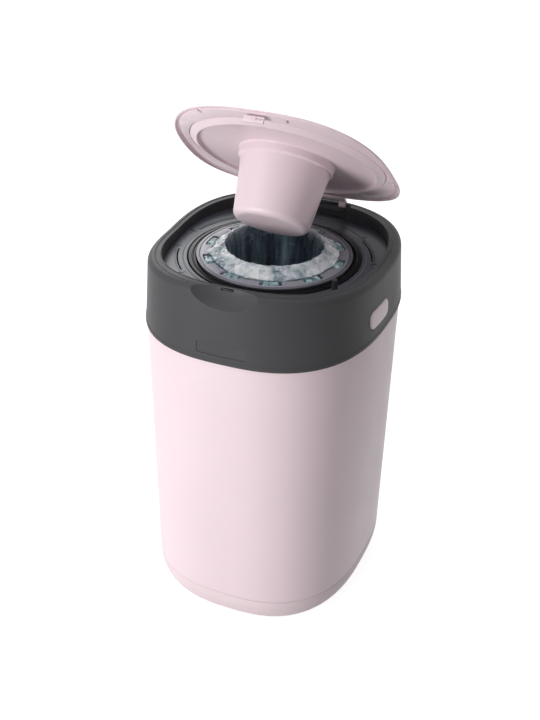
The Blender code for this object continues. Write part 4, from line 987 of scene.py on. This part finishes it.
inset, mouth, seat, underZ, r = lid["inset"], lid["mouth"], lid["seat"], lid["underZ"], lid["edgeRound"]
insetShare, mouthZ = inset / (lid["half"] - mouth), domeZ(mouth)


def underBrim(y):
    return brimZ(y, insetShare) - lid["edgeWall"]


rings = [edgeRing(r * 0.75, edgeLow), edgeRing(r * 0.30, lambda y: edgeLow(y) + 0.0001),
         edgeRing(0, lambda y: edgeLow(y) + 0.0005), edgeRing(0, lambda y: edgeTop(y) - r * 0.45),
         edgeRing(r * 0.12, lambda y: edgeTop(y) - r * 0.18), edgeRing(r * 0.5, edgeTop),
         edgeRing(r * 1.6, lambda y: brimZ(y, 0.15)), edgeRing(inset, lambda y: brimZ(y, insetShare))]
inside = circle(mouth)
for share in (0.25, 0.5, 0.75):
    part = insetShare + (1 - insetShare) * share
    rings.append(brimRing(mixed(lidEdge(inset), inside, share), lambda y, part=part: brimZ(y, part)))
rings += [levelRing(circle(mouth + 0.0003), mouthZ), levelRing(inside, mouthZ - 0.0003),
          levelRing(inside, underZ), levelRing(circle(seat), underZ), edgeRing(inset, underBrim),
          edgeRing(r * 1.4, lambda y: edgeTop(y) - 0.0008), edgeRing(r, edgeLow)]
lidCap = stackRings("lidCap", rings)
settle(lidCap, "lid", pink, "lid_cap", turn=lidTurn)

b, deep = lid["linerBevel"], lid["linerDeep"]


def linerLow(y):
    return underBrim(y) - lid["linerProud"]


lidLiner = stackRings("lidLiner", [
    edgeRing(inset + b * 1.5, linerLow), edgeRing(inset + b, lambda y: linerLow(y) + b * 0.3),
    edgeRing(inset + b * 0.8, lambda y: linerLow(y) + b * 0.6 + b * 0.2),
    edgeRing(inset + b / 2, lambda y: underBrim(y) + 0.0002), levelRing(circle(seat), underZ - 0.0004),
    levelRing(circle(seat), b - deep), levelRing(circle(seat + b * 0.3), b * 0.4 - deep),
    levelRing(circle(seat + b), -deep)])
slots = {"places": ((-0.0607, -0.0985, -32), (0.0290, -0.1045, 15), (0.1035, 0.0285, 105)),
         "halfLong": 0.0032, "halfWide": 0.0013, "low": -0.0050, "high": -0.0006}
for x, y, deg in slots["places"]:
    slot = cutBlock((-slots["halfWide"], -slots["halfLong"], slots["low"]),
                    (slots["halfWide"], slots["halfLong"], slots["high"]))
    slot.data.transform(Matrix.Translation((x, y, 0)) @ Matrix.Rotation(radians(deg), 4, "Z"))
    cutWith(lidLiner, slot)
settle(lidLiner, "lid", pink, "lid_liner", turn=lidTurn)

for node, name in (("lid_tab", "lidTab"), ("hinge_arm", "hingeArm")):
    settle(smoothCopy(node, name, 0.0004), "lid", pink, node)
print("lid built")


# dial: stepped dish with the plunger, domed cover with its finger well, and the grip bar

dial = {"radius": 0.0984, "lip": 0.0028, "flangeLow": 0.0034, "flangeHigh": 0.0012, "ringWide": 0.0022,
        "ringDeep": 0.0074, "dishDeep": 0.0040, "topRadius": 0.0459, "footRadius": 0.0390, "ringIn": 0.0062,
        "neckRadius": 0.0938, "deep": 0.0745, "edge": 0.0070, "wall": 0.0022,
        "rootWide": 0.0031, "rootHigh": 0.0126, "fillet": 0.0020, "cup": 0.0409, "cupDeep": 0.0220,
        "draft": 0.0020, "cover": 0.0018, "corner": 0.0030, "steps": 160}
out, lipOut, topRadius = dial["radius"], dial["radius"] + dial["lip"], dial["topRadius"]
flangeTop, fillet, edge = dial["flangeHigh"], dial["fillet"], dial["edge"]
dishZ, neckZ, footZ = -dial["dishDeep"], -dial["rootHigh"], -dial["deep"]
ringOut, ringIn, root = out - 0.0006, out - dial["ringIn"], topRadius + dial["rootWide"]
slope = (topRadius - dial["footRadius"]) / (dial["deep"] - dial["rootHigh"])


def plungerRadius(z):
    return topRadius + (z - neckZ) * slope


outsidePath = softened([
    (lipOut, flangeTop, 0), (lipOut, -dial["flangeLow"], 0.0005),
    (ringIn + dial["ringWide"], -dial["ringDeep"], 0.0012),
    (ringIn + 0.0009, -dial["ringDeep"], 0.0009), (ringIn, dishZ, 0.0010), (ringIn - fillet, dishZ * 0.8, 0)],
    closed=False)[1:]
outsidePath += [(root + fillet * (1 - sin(q)), dishZ - fillet * (1 - cos(q))) for q in quarters(10)]
outsidePath += softened([(root, dishZ - fillet - 0.0001, 0), (root, neckZ + 0.0003, 0.0022),
                         (topRadius + 0.0004, neckZ - 0.0004, 0.0014), (topRadius, neckZ - 0.0045, 0)],
                        closed=False)[1:]
foot = plungerRadius(footZ + edge)
for i in range(1, 6):
    z = neckZ - 0.005 + (footZ + edge - neckZ + 0.005) * i / 6
    outsidePath.append((plungerRadius(z), z))
outsidePath += [(foot - edge * (1 - cos(q)), footZ + edge * (1 - sin(q))) for q in quarters(12)]
outsidePath += [(0.0200, footZ), (0.0030, footZ), (0.0026, footZ + 0.0003), (0.0008, footZ + 0.0003),
                (0.0006, footZ), (0, footZ)]
wall, neck, neckTop = dial["wall"], dial["neckRadius"], domeZ(out) - dial["cover"] * 0.7 - 0.0004
insidePath = [(0, footZ + wall), (foot - edge, footZ + wall), (foot - wall, footZ + edge),
              (topRadius - wall, neckZ), (root - wall, dishZ - fillet), (root + fillet, flangeTop / 2),
              (neck, flangeTop / 2), (neck, neckTop), (ringOut, neckTop), (ringOut, flangeTop),
              (lipOut, flangeTop)]
dialDish = spinProfile("dialDish", insidePath + outsidePath, dial["steps"])
settle(dialDish, "dial", pink, "dial_dish", turn=lidTurn)

cup, cupFoot, floorZ = dial["cup"], dial["cup"] - dial["draft"], -dial["cupDeep"]
c, w = dial["corner"], dial["cover"]


def coverPoint(share, drop=0, soft=0):
    reach = cup + (out - cup) * share
    return reach, domeZ(reach) - drop, soft


coverPath = softened(
    [(cupFoot, floorZ, c), (cup, -0.001, 0), (cup + w, domeZ(cup), 0.0022)]
    + [coverPoint(share) for share in (0.15, 0.3, 0.45, 0.6, 0.75, 0.9)]
    + [(out, domeZ(out), 0.0005), (out, domeZ(out) - w * 0.7, 0), coverPoint(0.6, w), coverPoint(0.25, w),
       (cup + w * 1.5, domeZ(cup) - w * 1.25, 0), (cup + w, -c / 3, 0), (cupFoot + w, floorZ + c / 2, 0.001),
       (cupFoot - c / 2, floorZ - w, 0), (0, floorZ - w, 0), (0, floorZ, 0)], steps=6)
dialCover = spinProfile("dialCover", coverPath, dial["steps"])
settle(dialCover, "dial", pink, "dial_cover", turn=lidTurn, deg=40)
settle(smoothCopy("dial_grip", "dialGrip", 0.0008), "dial", pink, "dial_grip")
print("dial built")

# small pieces that keep the frame's shape, most with their edges as they are and some eased

dressed = [("tub_collar_seal", softRubber, 0), ("gripper_ring", softRubber, 0),
           ("hinge_rod", rodSteel, 0.0003),
           ("latch_arm_right", collarGrey, 0.0002), ("latch_arm_left", collarGrey, 0.0002),
           ("cutter_guard", collarGrey, 0), ("cutter_blade", bladeSteel, 0)]
dressed += [("deck_screw_" + str(i), screwSteel, 0) for i in range(1, 5)]
for node, look, edgeSoft in dressed:
    holder = "bin" if node == "tub_collar_seal" else "head"
    name = "".join(word.capitalize() if k else word for k, word in enumerate(node.split("_")))
    settle(smoothCopy(node, name, edgeSoft), holder, look, node)
print("small pieces dressed")
